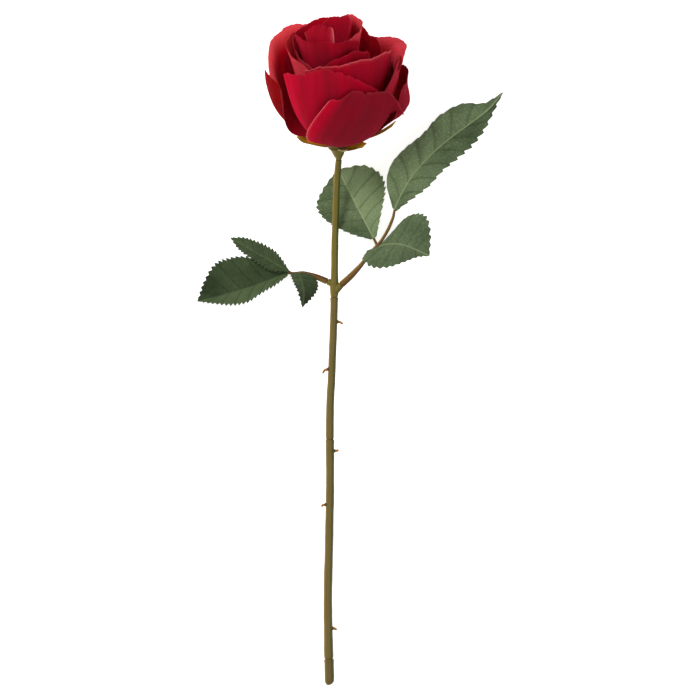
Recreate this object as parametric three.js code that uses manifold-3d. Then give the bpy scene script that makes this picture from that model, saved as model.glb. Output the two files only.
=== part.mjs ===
/**
 * Artificial rose stem, lying on a table: fabric petals and leaves on a moulded plastic stem.
 *
 * Millimetres. The stem runs along +Y from its cut end to the bloom, +X is to the right as one looks
 * down on the rose, and +Z is up, away from the table at z = 0. Sizes and places are given from a point
 * near the cut end. The whole rose is then moved so that the origin is under the middle of its box.
 *
 * The bloom is built from nested cups. Each petal is a sheet that lies on a cup of its own, and a larger
 * cup number is always further out, so two petals touch only if their cup numbers come too close.
 */
import * as THREE from 'three';
import { mergeVertices } from 'three/addons/utils/BufferGeometryUtils.js';
import Module from 'manifold-3d';

const wasm = await Module();
wasm.setup();

// ---------------------------------------------------------------- driving dimensions, in millimetres

const GAP = 0.3;                       // between pieces that touch
const PETAL_THICKNESS = 0.7;
const LEAF_THICKNESS = 0.7;

// Stem: [along y, sideways x, centre height z, diameter]
const STEM = [
  [-8, 0.4, 3.3, 6.6],
  [-4, 0.3, 3.3, 7.0],
  [11, -0.2, 3.3, 6.7],
  [35, -0.7, 3.5, 6.3],
  [88, -0.3, 4.5, 6.1],
  [131, 0.4, 6.2, 5.9],
  [181, 0.8, 9.4, 5.5],
  [236, 2.2, 12.0, 5.4],
  [292, 4.0, 15.2, 5.0],
  [321, 4.4, 16.8, 5.0],
  [352, 5.1, 18.8, 4.9],
  [383, 6.2, 23.2, 4.7],
  [399.4, 7.6, 29.5, 4.4],
];
const CAP_END = 11;                    // the stem's pieces meet at these distances along it
const LOWER_END = 181.5;
const MIDDLE_END = 292;
const UPPER_END = 399.0;
const STEM_STEP = 20;                  // between rings of the stem
const BORE_RADIUS = 1.6;
const WIRE_RADIUS = 1.1;
const CAP_FLOOR = 5;                   // solid end of the cap, below the bore
const CAP_BEVEL = { length: 1.2, depth: 0.7 };
const TABLE_SLAB = { width: 20, length: 60, depth: 10 };       // cuts the cap's flat
const TUBE_SIDES = 12;
const CAP_SIDES = 16;
const SMALL_SIDES = 8;                 // of thin rods: the wire, thorns and stalks
const COLLAR = { rise: 0.3, length: 2.2 };      // raised rim at the top of a stem piece

// Thorns: distance along the stem, side (-1 left, 1 right), reach, and droop toward the cut end
const THORNS = {
  stem_lower: [[35, 1, 3.4, 1.2], [131, -1, 3.6, 1.4], [173, 1, 3.6, 1.4]],
  stem_middle: [[236, -1, 4.4, 3.0], [273, 1, 4.2, 2.4]],
};
const THORN_ROOT = { depth: 0.9, radius: 1.5, lift: 0.4 };     // inside the stem, a little above its middle
// A thorn from root to point: [part of its reach, part of its droop, radius]
const THORN_SHAPE = [[0.3, 0, 1.1], [0.7, 0.35, 0.6], [1, 1, 0.2]];

// Node where the leaf stalks leave the stem, and the sockets that hold them
const NODE = { y: 300, bulge: 1.0, length: 11 };
const SOCKET = { start: 1.9, length: 6.8, radius: 2.7, mouth: 2.4, bore: 1.5, depth: 3.4, sides: 10 };
const SOCKET_PIN = { radius: 1.2, length: 3.0 };
const SHOULDER_STEP = 0.1;             // how much wider a stalk's shoulder is than the stalk
const FACE_STEP = 0.02;                // length over which a rod steps from one radius to another
const STALK_STEPS = 2;                 // rings of a stalk from one point of its centre line to the next
const LEFT_SOCKET = { from: [3.8, 303.4, 15.8], toward: [-0.93, 0.36, -0.03] };
const RIGHT_SOCKET = { from: [4.2, 296.6, 15.6], toward: [0.64, 0.73, 0.22] };

// Leaf stalks and twigs: centre line, with the radius at each point. Each ends under leaflets, along the
// vein: [leaflet, how far along it, radius].
const LEFT_STALK = [
  [-7.4, 307.7, 15.4, 1.9],
  [-13.2, 310.4, 14.9, 1.4],
  [-20.0, 311.8, 13.8, 1.15],
  [-27.0, 310.8, 12.2, 1.0],
];
const LEFT_STALK_END = [['left_leaf_terminal', 0.02, 0.9], ['left_leaf_terminal', 0.16, 0.7]];
const LEFT_TWIGS = [
  { from: [-22.8, 311.4, 13.2, 0.9], end: [['left_leaf_small', 0.1, 0.7], ['left_leaf_small', 0.24, 0.6]] },
  { from: [-28.6, 310.4, 11.8, 0.9], end: [['left_leaf_upper', 0.03, 0.8], ['left_leaf_upper', 0.16, 0.7]] },
];
const RIGHT_STALK = [
  [14.0, 307.8, 18.9, 1.9],
  [22.5, 317.2, 22.0, 1.6],
  [29.5, 325.0, 24.2, 1.35],
  [37.4, 332.2, 25.8, 1.3],
  [42.2, 338.4, 27.0, 1.2],
  [46.6, 346.4, 28.2, 1.15],
  [49.6, 354.0, 29.0, 1.05],
];
const RIGHT_STALK_END = [['right_leaf_terminal', 0.01, 0.9], ['right_leaf_terminal', 0.09, 0.7]];
const RIGHT_TWIGS = [
  { from: [37.4, 332.2, 25.7, 1.1], end: [['right_leaf_rear', 0.02, 0.95], ['right_leaf_rear', 0.2, 0.7]] },
  { from: [37.4, 331.4, 25.7, 1.1], end: [['right_leaf_front', 0.04, 0.9], ['right_leaf_front', 0.22, 0.7]] },
];
const LEAFLET_SEAT = 0.45;             // between a twig and the leaflet that lies on it

// Leaflets. base and tip are the ends of the chord. left, right and vein are [along, out] from the base,
// out being to the right of the chord. rise is the vein's height at even steps from base to tip, fold lifts
// (or drops) the two halves per millimetre out, and curl bends their edges back.
const LEAFLETS = [
  {
    name: 'left_leaf_terminal', base: [-32.6, 311.2], tip: [-102.3, 289.2],
    left: [[0, -2.3], [12, -7], [24, -9.5], [37, -12.4], [49, -10.8], [61, -5.4], [73, -0.3]],
    right: [[0, 1.5], [12, 10.5], [24, 20.6], [37, 23.2], [49, 21.7], [61, 13.2], [73, 0.3]],
    vein: [0, -1, -1.7, -1.8, -1.6, -1.2, 0],
    rise: [12.6, 11.0, 9.4, 8.0, 6.0, 3.2, 0], foldLeft: 0.34, foldRight: 0.1, curl: -0.003, teeth: 15,
  },
  {
    name: 'left_leaf_upper', base: [-31.6, 312.4], tip: [-76.0, 338.1],
    left: [[0, -0.8], [9, -5.4], [17, -7.4], [26, -7], [35, -5.8], [43, -4.3], [51.8, -0.3]],
    right: [[0, 0.8], [9, 5.8], [17, 8.5], [26, 8.9], [35, 7.8], [43, 5.4], [51.8, 0.3]],
    vein: [0, 0, 0, 0, 0, 0, 0],
    rise: [15.4, 16.0, 15.4, 14.0, 12.0, 9.6, 7.0], foldLeft: -0.08, foldRight: -0.2, curl: 0, teeth: 13,
  },
  {
    name: 'left_leaf_small', base: [-24.6, 311.0], tip: [-20.6, 284.6],
    left: [[-2.0, -7], [1.9, -12.6], [6.3, -14.9], [9.2, -14.3], [16.7, -12], [22.5, -5], [26.6, -0.3]],
    right: [[-0.8, 4.5], [0.6, 5.6], [4.4, 4.6], [8.8, 3.4], [13.3, 2.2], [20, 1.2], [26.6, 0.3]],
    vein: [-1, -2.2, -3, -3.2, -2.6, -1.5, 0],
    rise: [19.2, 19.2, 17.8, 14.6, 10.8, 7.2, 4.2], foldLeft: 0.01, foldRight: -0.1, curl: 0, teeth: 8,
  },
  {
    name: 'right_leaf_terminal', base: [50.8, 360.0], tip: [134.9, 451.3],
    left: [[0, -2.0], [20, -18.5], [41, -23.5], [62, -23.6], [83, -21.9], [104, -10.6], [124, -0.3]],
    right: [[0, 1.7], [20, 8.5], [41, 11.5], [62, 10.2], [83, 11], [104, 7], [124, 0.3]],
    vein: [0, -2.6, -4.4, -3.7, -1.1, 1.4, 0],
    rise: [31.0, 33.0, 31.6, 27.0, 20.0, 10.8, 0], foldLeft: -0.12, foldRight: -0.34, curl: -0.004, teeth: 17,
  },
  {
    name: 'right_leaf_rear', base: [34.6, 338.0], tip: [5.4, 393.1],
    left: [[0, -2.3], [10, -13.2], [21, -21.7], [31, -26.7], [42, -27.5], [52, -18.6], [62.3, -0.3]],
    right: [[0, 2.3], [10, 11.2], [21, 20.5], [31, 26.4], [42, 29], [52, 21.3], [62.3, 0.3]],
    vein: [0, 0, 0.2, 0.4, 0.6, 0.6, 0],
    rise: [26.8, 24.0, 18.4, 13.8, 11.0, 9.4, 8.4], foldLeft: -0.28, foldRight: -0.1, curl: 0, teeth: 14,
  },
  {
    name: 'right_leaf_front', base: [39.4, 331.9], tip: [77.8, 324.6],
    left: [[0, -0.8], [6.5, -9.6], [13, -21.5], [20, -28.4], [29, -30], [36.5, -18], [39.2, -0.3]],
    right: [[-10.8, 9.2], [-4.3, 16.2], [4.6, 16.7], [13, 13], [21, 8.6], [29.8, 3.2], [39.2, 0.3]],
    vein: [0, -2.8, -4.2, -4.2, -3, -1.4, 0],
    rise: [28.2, 28.8, 27.6, 24.4, 20.4, 16.0, 12.0], foldLeft: -0.16, foldRight: -0.1, curl: 0, teeth: 12,
  },
];
const TOOTH_DEPTH = 1.1;
const LEAF_CELLS_ACROSS = 4;

// Bloom: where it sits on the stem, how far it tilts up from the table and leans to the left
const BLOOM_BASE = [7.0, 408.0, 33.0];
const BLOOM_TILT = THREE.MathUtils.degToRad(22);
const BLOOM_LEAN = THREE.MathUtils.degToRad(4);

// Cups, innermost first: [radius, height] at five even steps from the root to the rim
const CUPS = [
  [[1.5, 27], [4, 47], [5, 68], [6, 88], [6.5, 106]],
  [[3, 24], [8, 41], [11.5, 62], [14.5, 84], [17, 106]],
  [[4.5, 20], [13, 35], [18.5, 55], [22.5, 78], [27, 101]],
  [[6, 15], [20, 27], [28, 46], [33.5, 68], [37.5, 91]],
  [[7, 9], [26, 19.5], [38, 37], [45.5, 61], [48.5, 86]],
  [[8, 4], [31, 13], [46.5, 32], [54, 56], [55.5, 78]],
  [[9, -2], [38, 6], [55, 24], [63, 48], [66, 68]],
];

// Petals: cup number; left and right edges in degrees round the axis (0 toward the viewer, 90 right) at the
// root, half way up and at the rim; rim as parts of the cup's height from left to right; and, all optional,
// out and roll (how many cups the rim leans and rolls outward, left to right), belly (the same half way up)
// and slant (right edge outside the left one). cells are the sheet's cells across and up.
const PETALS = [
  { name: 'petal_heart_1', cup: 0.35, left: [-120, -325, -335], right: [60, 5, 5],
    rim: [0.97, 0.98, 0.98, 0.99, 0.99], out: [-0.1, -0.05, 0.15, 0.5, 0.1], slant: 0.1, cells: [14, 6] },
  { name: 'petal_heart_2', cup: 0.84, left: [60, 35, 30], right: [130, 190, 200],
    rim: [0.93, 0.94, 0.95, 0.95, 0.94], slant: 0.1, cells: [9, 6] },
  { name: 'petal_heart_3', cup: 1.25, left: [-160, -190, -195], right: [-90, -65, -60],
    rim: [0.95, 0.96, 0.97, 0.97, 0.955], slant: 0.08, cells: [8, 6] },
  { name: 'petal_heart_4', cup: 1.5, left: [-35, -60, -60], right: [50, 80, 85],
    rim: [0.9, 0.93, 0.94, 0.93, 0.92], slant: 0.06, cells: [8, 6] },
  { name: 'petal_bud_1', cup: 2.06, left: [-60, -95, -100], right: [20, 52, 56],
    rim: [0.99, 0.99, 0.98, 0.98, 0.97], slant: 0.04, roll: [0.04, 0.04, 0.04, 0.04, 0.04] },
  { name: 'petal_bud_2', cup: 1.84, left: [50, 32, 30], right: [130, 160, 172],
    rim: [0.96, 0.98, 1, 1.01, 1], slant: 0.06, roll: [0.04, 0.04, 0.04, 0.04, 0.04] },
  { name: 'petal_bud_3', cup: 2.28, left: [165, 140, 138], right: [250, 278, 282],
    rim: [0.97, 0.99, 1, 0.99, 0.98], slant: 0.05, roll: [0.04, 0.04, 0.04, 0.04, 0.04] },
  { name: 'petal_inner_1', cup: 2.52, left: [-140, -160, -160], right: [-65, -40, -34],
    rim: [0.92, 0.93, 0.94, 0.9, 0.82] },
  { name: 'petal_inner_2', cup: 2.86, left: [-135, -165, -160], right: [-60, -26, -20],
    rim: [0.95, 0.98, 0.985, 0.95, 0.84], roll: [0, 0.05, 0.1, 0, 0] },
  { name: 'petal_inner_3', cup: 2.66, left: [-5, -22, -12], right: [60, 80, 82],
    rim: [0.88, 0.93, 0.95, 0.9, 0.82] },
  { name: 'petal_inner_4', cup: 2.6, left: [100, 92, 95], right: [165, 185, 190],
    rim: [0.92, 0.95, 0.96, 0.95, 0.93] },
  { name: 'petal_inner_5', cup: 3.06, left: [105, 88, 92], right: [175, 200, 205],
    rim: [0.81, 0.88, 0.93, 0.94, 0.92] },
  { name: 'petal_middle_1', cup: 3.45, left: [-5, -32, -34], right: [60, 82, 86],
    rim: [0.88, 0.92, 0.94, 0.955, 0.975], out: [0, 0, 0, 0.05, 0.2], shoulder: 0.02 },
  { name: 'petal_middle_2', cup: 4.05, left: [-160, -180, -182], right: [-85, -76, -80],
    rim: [1.03, 1.07, 1.08, 1.02, 0.84], roll: [0, 0, 0.05, 0.15, 0.4], shoulder: 0.03 },
  { name: 'petal_middle_3', cup: 3.55, left: [160, 150, 150], right: [225, 240, 240],
    rim: [0.84, 0.88, 0.88, 0.88, 0.84], roll: [0.1, 0.1, 0.1, 0.1, 0.1] },
  { name: 'petal_middle_4', cup: 4.18, left: [85, 72, 74], right: [145, 160, 158],
    rim: [0.92, 0.98, 1, 0.96, 0.88], roll: [0.5, 0.9, 1.2, 0.8, 0.5], shoulder: 0.08 },
  { name: 'petal_middle_5', cup: 3.86, left: [72, 74, 76], right: [110, 122, 122],
    rim: [0.8, 0.8, 0.8, 0.78, 0.76], cells: [6, 8] },
  { name: 'petal_outer_1', cup: 4.2, left: [-45, -55, -56], right: [30, 46, 46],
    rim: [0.885, 0.905, 0.985, 0.93, 0.77], out: [-0.3, 0, 0, 0, 0], belly: [-0.25, 0, 0],
    roll: [0.1, 0.05, 0, 0, 0], shoulder: 0.02 },
  { name: 'petal_outer_2', cup: 4.6, left: [60, 48, 80], right: [115, 120, 118],
    rim: [0.8, 0.82, 0.82, 0.8, 0.75], roll: [0.1, 0.1, 0.1, 0.1, 0.1] },
  { name: 'petal_outer_3', cup: 4.8, left: [155, 140, 140], right: [215, 232, 230],
    rim: [0.84, 0.9, 0.92, 0.9, 0.84], roll: [0.2, 0.2, 0.2, 0.2, 0.2], shoulder: 0.12 },
  { name: 'petal_guard_1', cup: 5.12, left: [-34, -32, 0], right: [58, 72, 66],
    rim: [0.84, 0.87, 0.82, 0.78, 0.58], out: [0, 0, 0.05, 0.2, 0.7], belly: [0, 0, 0.25],
    roll: [0, 0, 0, 0, 0.1], shoulder: 0.04, cells: [10, 8] },
  { name: 'petal_guard_2', cup: 4.88, left: [80, 60, 70], right: [120, 134, 128],
    rim: [0.76, 0.78, 0.8, 0.76, 0.7], out: [0, 0.1, 0.2, 0.1, 0.1], belly: [0, 0.55, 0.4] },
  { name: 'petal_guard_3', cup: 4.45, left: [-150, -160, -155], right: [-90, -82, -84],
    rim: [0.66, 0.72, 0.74, 0.72, 0.66], belly: [0, 0.15, 0.05], shoulder: 0.1 },
  { name: 'petal_guard_4', cup: 5.35, left: [150, 138, 136], right: [200, 214, 212],
    rim: [0.8, 0.86, 0.88, 0.86, 0.8], roll: [0.2, 0.2, 0.2, 0.2, 0.2], shoulder: 0.12 },
];
const PETAL_CELLS = [8, 8];
const SHOULDER = 0.05;                 // how far a petal's rim drops at its corners, unless it says otherwise
const ROLL_START = 0.78;               // how far up a petal its rim starts to roll
const SLANT_END = 0.3;                 // how far up its edges have parted by the whole slant

// Calyx: [radius, height] outside, from the stem up to the rim, and sepals that follow the outer cups
const CALYX = [
  [2.6, -9], [2.9, -8.4], [3.1, -6.5], [4.2, -4.4], [6.6, -2], [8.9, -0.6], [9.3, 0.4], [8.6, 1.3],
];
const CALYX_BORE_END = -3.6;
const CALYX_SIDES = 20;
const CORE_SIDES = 16;
const SEPAL_THICKNESS = 0.9;
const SEPALS = [                       // like petals; start is where the sepal leaves the calyx
  { cup: 5.8, left: [-104, -92, -87], right: [-70, -80, -85], rim: [0.28, 0.33, 0.37, 0.33, 0.28] },
  { cup: 5.72, left: [-12, -4, 4], right: [26, 20, 12], rim: [0.15, 0.18, 0.2, 0.18, 0.15] },
  { cup: 5.85, left: [38, 46, 52], right: [70, 64, 57], rim: [0.2, 0.23, 0.25, 0.23, 0.2] },
  { cup: 5.78, left: [84, 94, 101], right: [118, 110, 103], rim: [0.28, 0.33, 0.37, 0.33, 0.28] },
  { cup: 5.72, left: [172, 182, 189], right: [208, 198, 191], rim: [0.2, 0.24, 0.27, 0.24, 0.2] },
];
const SEPAL_START = -0.04;
const SEPAL_CELLS = [3, 5];

// Bud core under the petals' roots: [radius, height], just inside the cups' roots
const BUD_CORE = [
  [0, 1.7], [7.7, 1.7], [7.5, 4], [6.5, 9], [5.5, 15], [4.0, 20], [2.5, 24], [1.0, 27], [0, 28.4],
];

// ---------------------------------------------------------------- materials

const petalRed = new THREE.MeshStandardMaterial({ color: 0x99152a, roughness: 0.75, side: THREE.DoubleSide });
const leafGreen = new THREE.MeshStandardMaterial({ color: 0x56683f, roughness: 0.7, side: THREE.DoubleSide });
const stemGreen = new THREE.MeshStandardMaterial({ color: 0x6a632e, roughness: 0.5 });
const stalkBrown = new THREE.MeshStandardMaterial({ color: 0x75562f, roughness: 0.5 });
const wireGrey = new THREE.MeshStandardMaterial({ color: 0x8a8d8f, roughness: 0.4, metalness: 1 });

// ---------------------------------------------------------------- curves

/** The cubic between b and c, f of the way along, with a before b and d after c. */
function cubic(a, b, c, d, f) {
  const startSlope = (c - a) / 2;
  const endSlope = (d - b) / 2;
  return (1 + 2 * f) * (1 - f) ** 2 * b + f * (1 - f) ** 2 * startSlope
    + f * f * (3 - 2 * f) * c + f * f * (f - 1) * endSlope;
}

/** A smooth curve through values at x = 0, 1, 2 ..., straight beyond both ends. */
function spline(values, x) {
  const last = values.length - 1;
  const i = Math.min(Math.max(Math.floor(x), 0), last - 1);
  const f = x - i;
  const b = values[i];
  const c = values[i + 1];
  const a = i > 0 ? values[i - 1] : 2 * b - c;
  const d = i < last - 1 ? values[i + 2] : 2 * c - b;
  if (f < 0) return b + f * (c - a) / 2;
  if (f > 1) return c + (f - 1) * (d - b) / 2;
  return cubic(a, b, c, d, f);
}

/** The same through points: rows of numbers, one spline for each column. */
function splinePoint(rows, x) {
  return rows[0].map((_, column) => spline(rows.map((row) => row[column]), x));
}

/** 0 below from, 1 above to, and smooth between. */
function ease(x, from, to) {
  return THREE.MathUtils.smoothstep(x, from, to);
}

// ---------------------------------------------------------------- geometry

/** A closed geometry from corner points and triangles. */
function closedGeometry(points, triangles) {
  const geometry = new THREE.BufferGeometry();
  const positions = points.flatMap((point) => [point.x, point.y, point.z]);
  geometry.setAttribute('position', new THREE.Float32BufferAttribute(positions, 3));
  geometry.setIndex(triangles);
  return geometry;
}

/** Side faces round a ring of points: two rings of equal count joined by quads. */
function joinRings(triangles, first, second, count) {
  for (let k = 0; k < count; k += 1) {
    const next = (k + 1) % count;
    triangles.push(first + k, first + next, second + next, first + k, second + next, second + k);
  }
}

/**
 * A sheet of even thickness about surface(u, v), u from -1 to 1 and v from 0 to 1.
 * No point of it is lower than the table.
 */
function sheet(surface, [across, up], thickness) {
  const step = 1e-3;                   // for the slopes across and up
  const front = [];
  const back = [];
  for (let i = 0; i <= across; i += 1) {
    for (let j = 0; j <= up; j += 1) {
      const u = -1 + 2 * i / across;
      const v = j / up;
      const alongU = surface(u + step, v).sub(surface(u - step, v));
      const alongV = surface(u, v + step).sub(surface(u, v - step));
      const normal = alongU.cross(alongV).normalize();
      const middle = surface(u, v);
      const lower = Math.min(middle.z - Math.abs(normal.z) * thickness / 2, 0);
      middle.z -= lower;
      front.push(middle.clone().addScaledVector(normal, thickness / 2));
      back.push(middle.clone().addScaledVector(normal, -thickness / 2));
    }
  }
  const at = (i, j) => i * (up + 1) + j;
  const triangles = [];
  const flip = front.length;
  for (let i = 0; i < across; i += 1) {
    for (let j = 0; j < up; j += 1) {
      const [a, b, c, d] = [at(i, j), at(i + 1, j), at(i + 1, j + 1), at(i, j + 1)];
      triangles.push(a, b, c, a, c, d);
      triangles.push(flip + a, flip + c, flip + b, flip + a, flip + d, flip + c);
    }
  }
  const edge = [];
  for (let i = 0; i < across; i += 1) edge.push(at(i, 0));
  for (let j = 0; j < up; j += 1) edge.push(at(across, j));
  for (let i = across; i > 0; i -= 1) edge.push(at(i, up));
  for (let j = up; j > 0; j -= 1) edge.push(at(0, j));
  edge.forEach((a, k) => {
    const b = edge[(k + 1) % edge.length];
    triangles.push(a, flip + b, b, a, flip + a, flip + b);
  });
  return closedGeometry([...front, ...back], triangles);
}

/** A rod through stations of { point, radius }, solid or, with a bore radius, a tube open at both ends. */
function rod(stations, sides, bore = 0) {
  const points = [];
  const rings = (radiusOf) => stations.map((station, index) => {
    const before = stations[Math.max(index - 1, 0)].point;
    const after = stations[Math.min(index + 1, stations.length - 1)].point;
    const along = after.clone().sub(before).normalize();
    const across = new THREE.Vector3().crossVectors(along, new THREE.Vector3(0, 0, 1)).normalize();
    const above = new THREE.Vector3().crossVectors(across, along);
    const start = points.length;
    for (let k = 0; k < sides; k += 1) {
      const angle = 2 * Math.PI * (k + 0.5) / sides;
      points.push(station.point.clone()
        .addScaledVector(across, radiusOf(station) * Math.cos(angle))
        .addScaledVector(above, radiusOf(station) * Math.sin(angle)));
    }
    return start;
  });
  const outside = rings((station) => station.radius);
  const triangles = [];
  for (let n = 0; n + 1 < outside.length; n += 1) joinRings(triangles, outside[n + 1], outside[n], sides);
  if (bore > 0) {
    const inside = rings(() => bore);
    for (let n = 0; n + 1 < inside.length; n += 1) joinRings(triangles, inside[n], inside[n + 1], sides);
    joinRings(triangles, outside[0], inside[0], sides);
    joinRings(triangles, inside[inside.length - 1], outside[outside.length - 1], sides);
  } else {
    for (let k = 1; k + 1 < sides; k += 1) {
      const end = outside[outside.length - 1];
      triangles.push(outside[0], outside[0] + k, outside[0] + k + 1);
      triangles.push(end, end + k + 1, end + k);
    }
  }
  return closedGeometry(points, triangles);
}

/** Stations of a stalk through a list of [x, y, z, radius]. */
function stationsAlong(list) {
  const count = (list.length - 1) * STALK_STEPS;
  return Array.from({ length: count + 1 }, (_, k) => {
    const [x, y, z, radius] = splinePoint(list, k / STALK_STEPS);
    return { point: new THREE.Vector3(x, y, z), radius };
  });
}

// ---------------------------------------------------------------- joining and cutting

/** A three.js geometry as a solid. */
function solidOf(geometry) {
  const bare = geometry.clone();
  bare.deleteAttribute('normal');
  bare.deleteAttribute('uv');
  const merged = mergeVertices(bare);
  return new wasm.Manifold(new wasm.Mesh({
    numProp: 3,
    vertProperties: new Float32Array(merged.attributes.position.array),
    triVerts: new Uint32Array(merged.index.array),
  }));
}

/** The solid's surface as a three.js geometry. */
function geometryOf(solid) {
  const mesh = solid.getMesh();
  const geometry = new THREE.BufferGeometry();
  geometry.setAttribute('position', new THREE.BufferAttribute(new Float32Array(mesh.vertProperties), 3));
  geometry.setIndex(new THREE.BufferAttribute(new Uint32Array(mesh.triVerts), 1));
  return geometry;
}

/** Geometries joined into one. */
function joined(geometries) {
  return geometryOf(geometries.map(solidOf).reduce((whole, piece) => whole.add(piece)));
}

/** A geometry with others cut out of it. */
function cut(geometry, cutters) {
  return geometryOf(cutters.map(solidOf).reduce((whole, piece) => whole.subtract(piece), solidOf(geometry)));
}

/** A slab that fills everything below the table's top at the cut end. */
function underTable() {
  const { width, length, depth } = TABLE_SLAB;
  const slab = new THREE.BoxGeometry(width, length, depth);
  slab.translate(0, 0, -depth / 2);
  return slab;
}

// ---------------------------------------------------------------- stem

/** [x, z, diameter] of the stem at y, smooth through the STEM list. */
function stemAt(y) {
  const last = STEM.length - 1;
  let i = STEM.findIndex((row) => row[0] > y) - 1;
  if (i < 0) i = y < STEM[0][0] ? 0 : last - 1;
  const [start, end] = [STEM[i], STEM[i + 1]];
  const length = end[0] - start[0];
  const f = (y - start[0]) / length;
  return [1, 2, 3].map((column) => {
    const slopeAt = (n) => {
      const before = STEM[Math.max(n - 1, 0)];
      const after = STEM[Math.min(n + 1, last)];
      return (after[column] - before[column]) / (after[0] - before[0]) * length;
    };
    const low = start[column] + f * (end[column] - start[column]);
    if (column === 3) return low;
    return (1 + 2 * f) * (1 - f) ** 2 * start[column] + f * (1 - f) ** 2 * slopeAt(i)
      + f * f * (3 - 2 * f) * end[column] + f * f * (f - 1) * slopeAt(i + 1);
  });
}

/** Stations of the stem from one distance along it to another. */
function stemStations(from, to, extra = []) {
  const count = Math.ceil((to - from) / STEM_STEP);
  const places = Array.from({ length: count + 1 }, (_, k) => from + (to - from) * k / count);
  return [...places, ...extra].sort((a, b) => a - b).map((y) => {
    const [x, z, diameter] = stemAt(y);
    return { y, point: new THREE.Vector3(x, y, z), radius: diameter / 2 };
  });
}

/** One moulded piece of the stem, with the bore for the wire and a raised collar at its top end. */
function stemPiece(from, to, collar = true) {
  const top = to - GAP / 2;
  const extra = collar ? [top - COLLAR.length, top - COLLAR.length / 2] : [];
  const stations = stemStations(from + GAP / 2, top, extra);
  stations.forEach((station) => {
    if (collar) station.radius += COLLAR.rise * ease(station.y, top - COLLAR.length, top - COLLAR.length / 2);
  });
  return rod(stations, TUBE_SIDES, BORE_RADIUS);
}

/** A hooked thorn: a short curved spike that leaves the stem's side and droops toward the cut end. */
function thorn([y, side, reach, droop]) {
  const [x, z, diameter] = stemAt(y);
  const station = (distance, back, radius) => ({
    point: new THREE.Vector3(x + side * (diameter / 2 + distance), y - back, z + THORN_ROOT.lift), radius,
  });
  const root = station(-THORN_ROOT.depth, 0, THORN_ROOT.radius);
  const spike = THORN_SHAPE.map(([out, down, radius]) => station(reach * out, droop * down, radius));
  return rod([root, ...spike], SMALL_SIDES);
}

/** What the wire's bore takes out of a stem piece. */
function wireBore(from, to) {
  const stations = stemStations(from, to).map(({ point }) => ({ point, radius: BORE_RADIUS }));
  return rod(stations, TUBE_SIDES);
}

/** The cap at the cut end: a blind socket with a bevelled end, flat where it lies on the table. */
function stemCap() {
  const end = STEM[0][0];
  const stations = stemStations(end, CAP_END - GAP / 2, [end + CAP_BEVEL.length, 0]);
  stations[0].radius -= CAP_BEVEL.depth;
  return cut(rod(stations, CAP_SIDES), [wireBore(end + CAP_FLOOR, CAP_END + 1), underTable()]);
}

/** The steel wire inside the stem, from the cap's floor into the calyx. */
function stemWire() {
  const inStem = stemStations(STEM[0][0] + CAP_FLOOR + GAP, UPPER_END).map(({ point }) => point);
  const inCalyx = inBloom(0, 0, CALYX_BORE_END - GAP);
  return rod([...inStem, inCalyx].map((point) => ({ point, radius: WIRE_RADIUS })), SMALL_SIDES);
}

/** A point in line with a socket, this far out from the stem's centre line. */
function alongSocket({ from, toward }, distance) {
  const direction = new THREE.Vector3(...toward).normalize();
  return new THREE.Vector3(...from).addScaledVector(direction, distance);
}

/** The outside of a socket at the node, which a leaf stalk plugs into. */
function socketArm(arm) {
  return rod([
    { point: alongSocket(arm, SOCKET.start), radius: SOCKET.radius },
    { point: alongSocket(arm, SOCKET.length), radius: SOCKET.mouth },
  ], SOCKET.sides);
}

/** The blind hole in a socket's mouth. */
function socketHole(arm) {
  return rod([
    { point: alongSocket(arm, SOCKET.length - SOCKET.depth), radius: SOCKET.bore },
    { point: alongSocket(arm, SOCKET.length + 1), radius: SOCKET.bore },
  ], SOCKET.sides);
}

/** The stem's upper piece: its node swells toward the two sockets. */
function stemUpper() {
  const swell = NODE.length / 2;
  const tube = stemStations(MIDDLE_END + GAP / 2, UPPER_END, [NODE.y - swell, NODE.y, NODE.y + swell]);
  tube.forEach((station) => {
    station.radius += NODE.bulge * Math.exp(-(((station.y - NODE.y) / swell) ** 2));
  });
  const sockets = [LEFT_SOCKET, RIGHT_SOCKET];
  const solid = joined([rod(tube, TUBE_SIDES), ...sockets.map(socketArm)]);
  return cut(solid, [...sockets.map(socketHole), wireBore(MIDDLE_END - 1, UPPER_END + 1)]);
}

/** Where a stalk lies under its leaflets: rows of [x, y, z, radius] from rows of [leaflet, along, radius]. */
function underLeaflets(rows) {
  return rows.map(([name, along, radius]) => {
    const leaf = LEAFLETS.find((candidate) => candidate.name === name);
    const { x, y, z } = leafletSurface(leaf)(0, along);
    return [x, y, z - LEAF_THICKNESS / 2 - LEAFLET_SEAT - radius, radius];
  });
}

/** A leaf stalk: a pin in its socket, a shoulder that meets the socket's face, the stalk and its twigs. */
function stalk(arm, path, end, twigs) {
  const shoulder = SOCKET.length + GAP;
  const main = rod([
    { point: alongSocket(arm, shoulder - SOCKET_PIN.length), radius: SOCKET_PIN.radius },
    { point: alongSocket(arm, shoulder), radius: SOCKET_PIN.radius },
    { point: alongSocket(arm, shoulder + FACE_STEP), radius: path[0][3] + SHOULDER_STEP },
    ...stationsAlong([...path, ...underLeaflets(end)]),
  ], SMALL_SIDES);
  const side = twigs.map((twig) => rod(stationsAlong([twig.from, ...underLeaflets(twig.end)]), SMALL_SIDES));
  return joined([main, ...side]);
}

// ---------------------------------------------------------------- leaves

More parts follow.
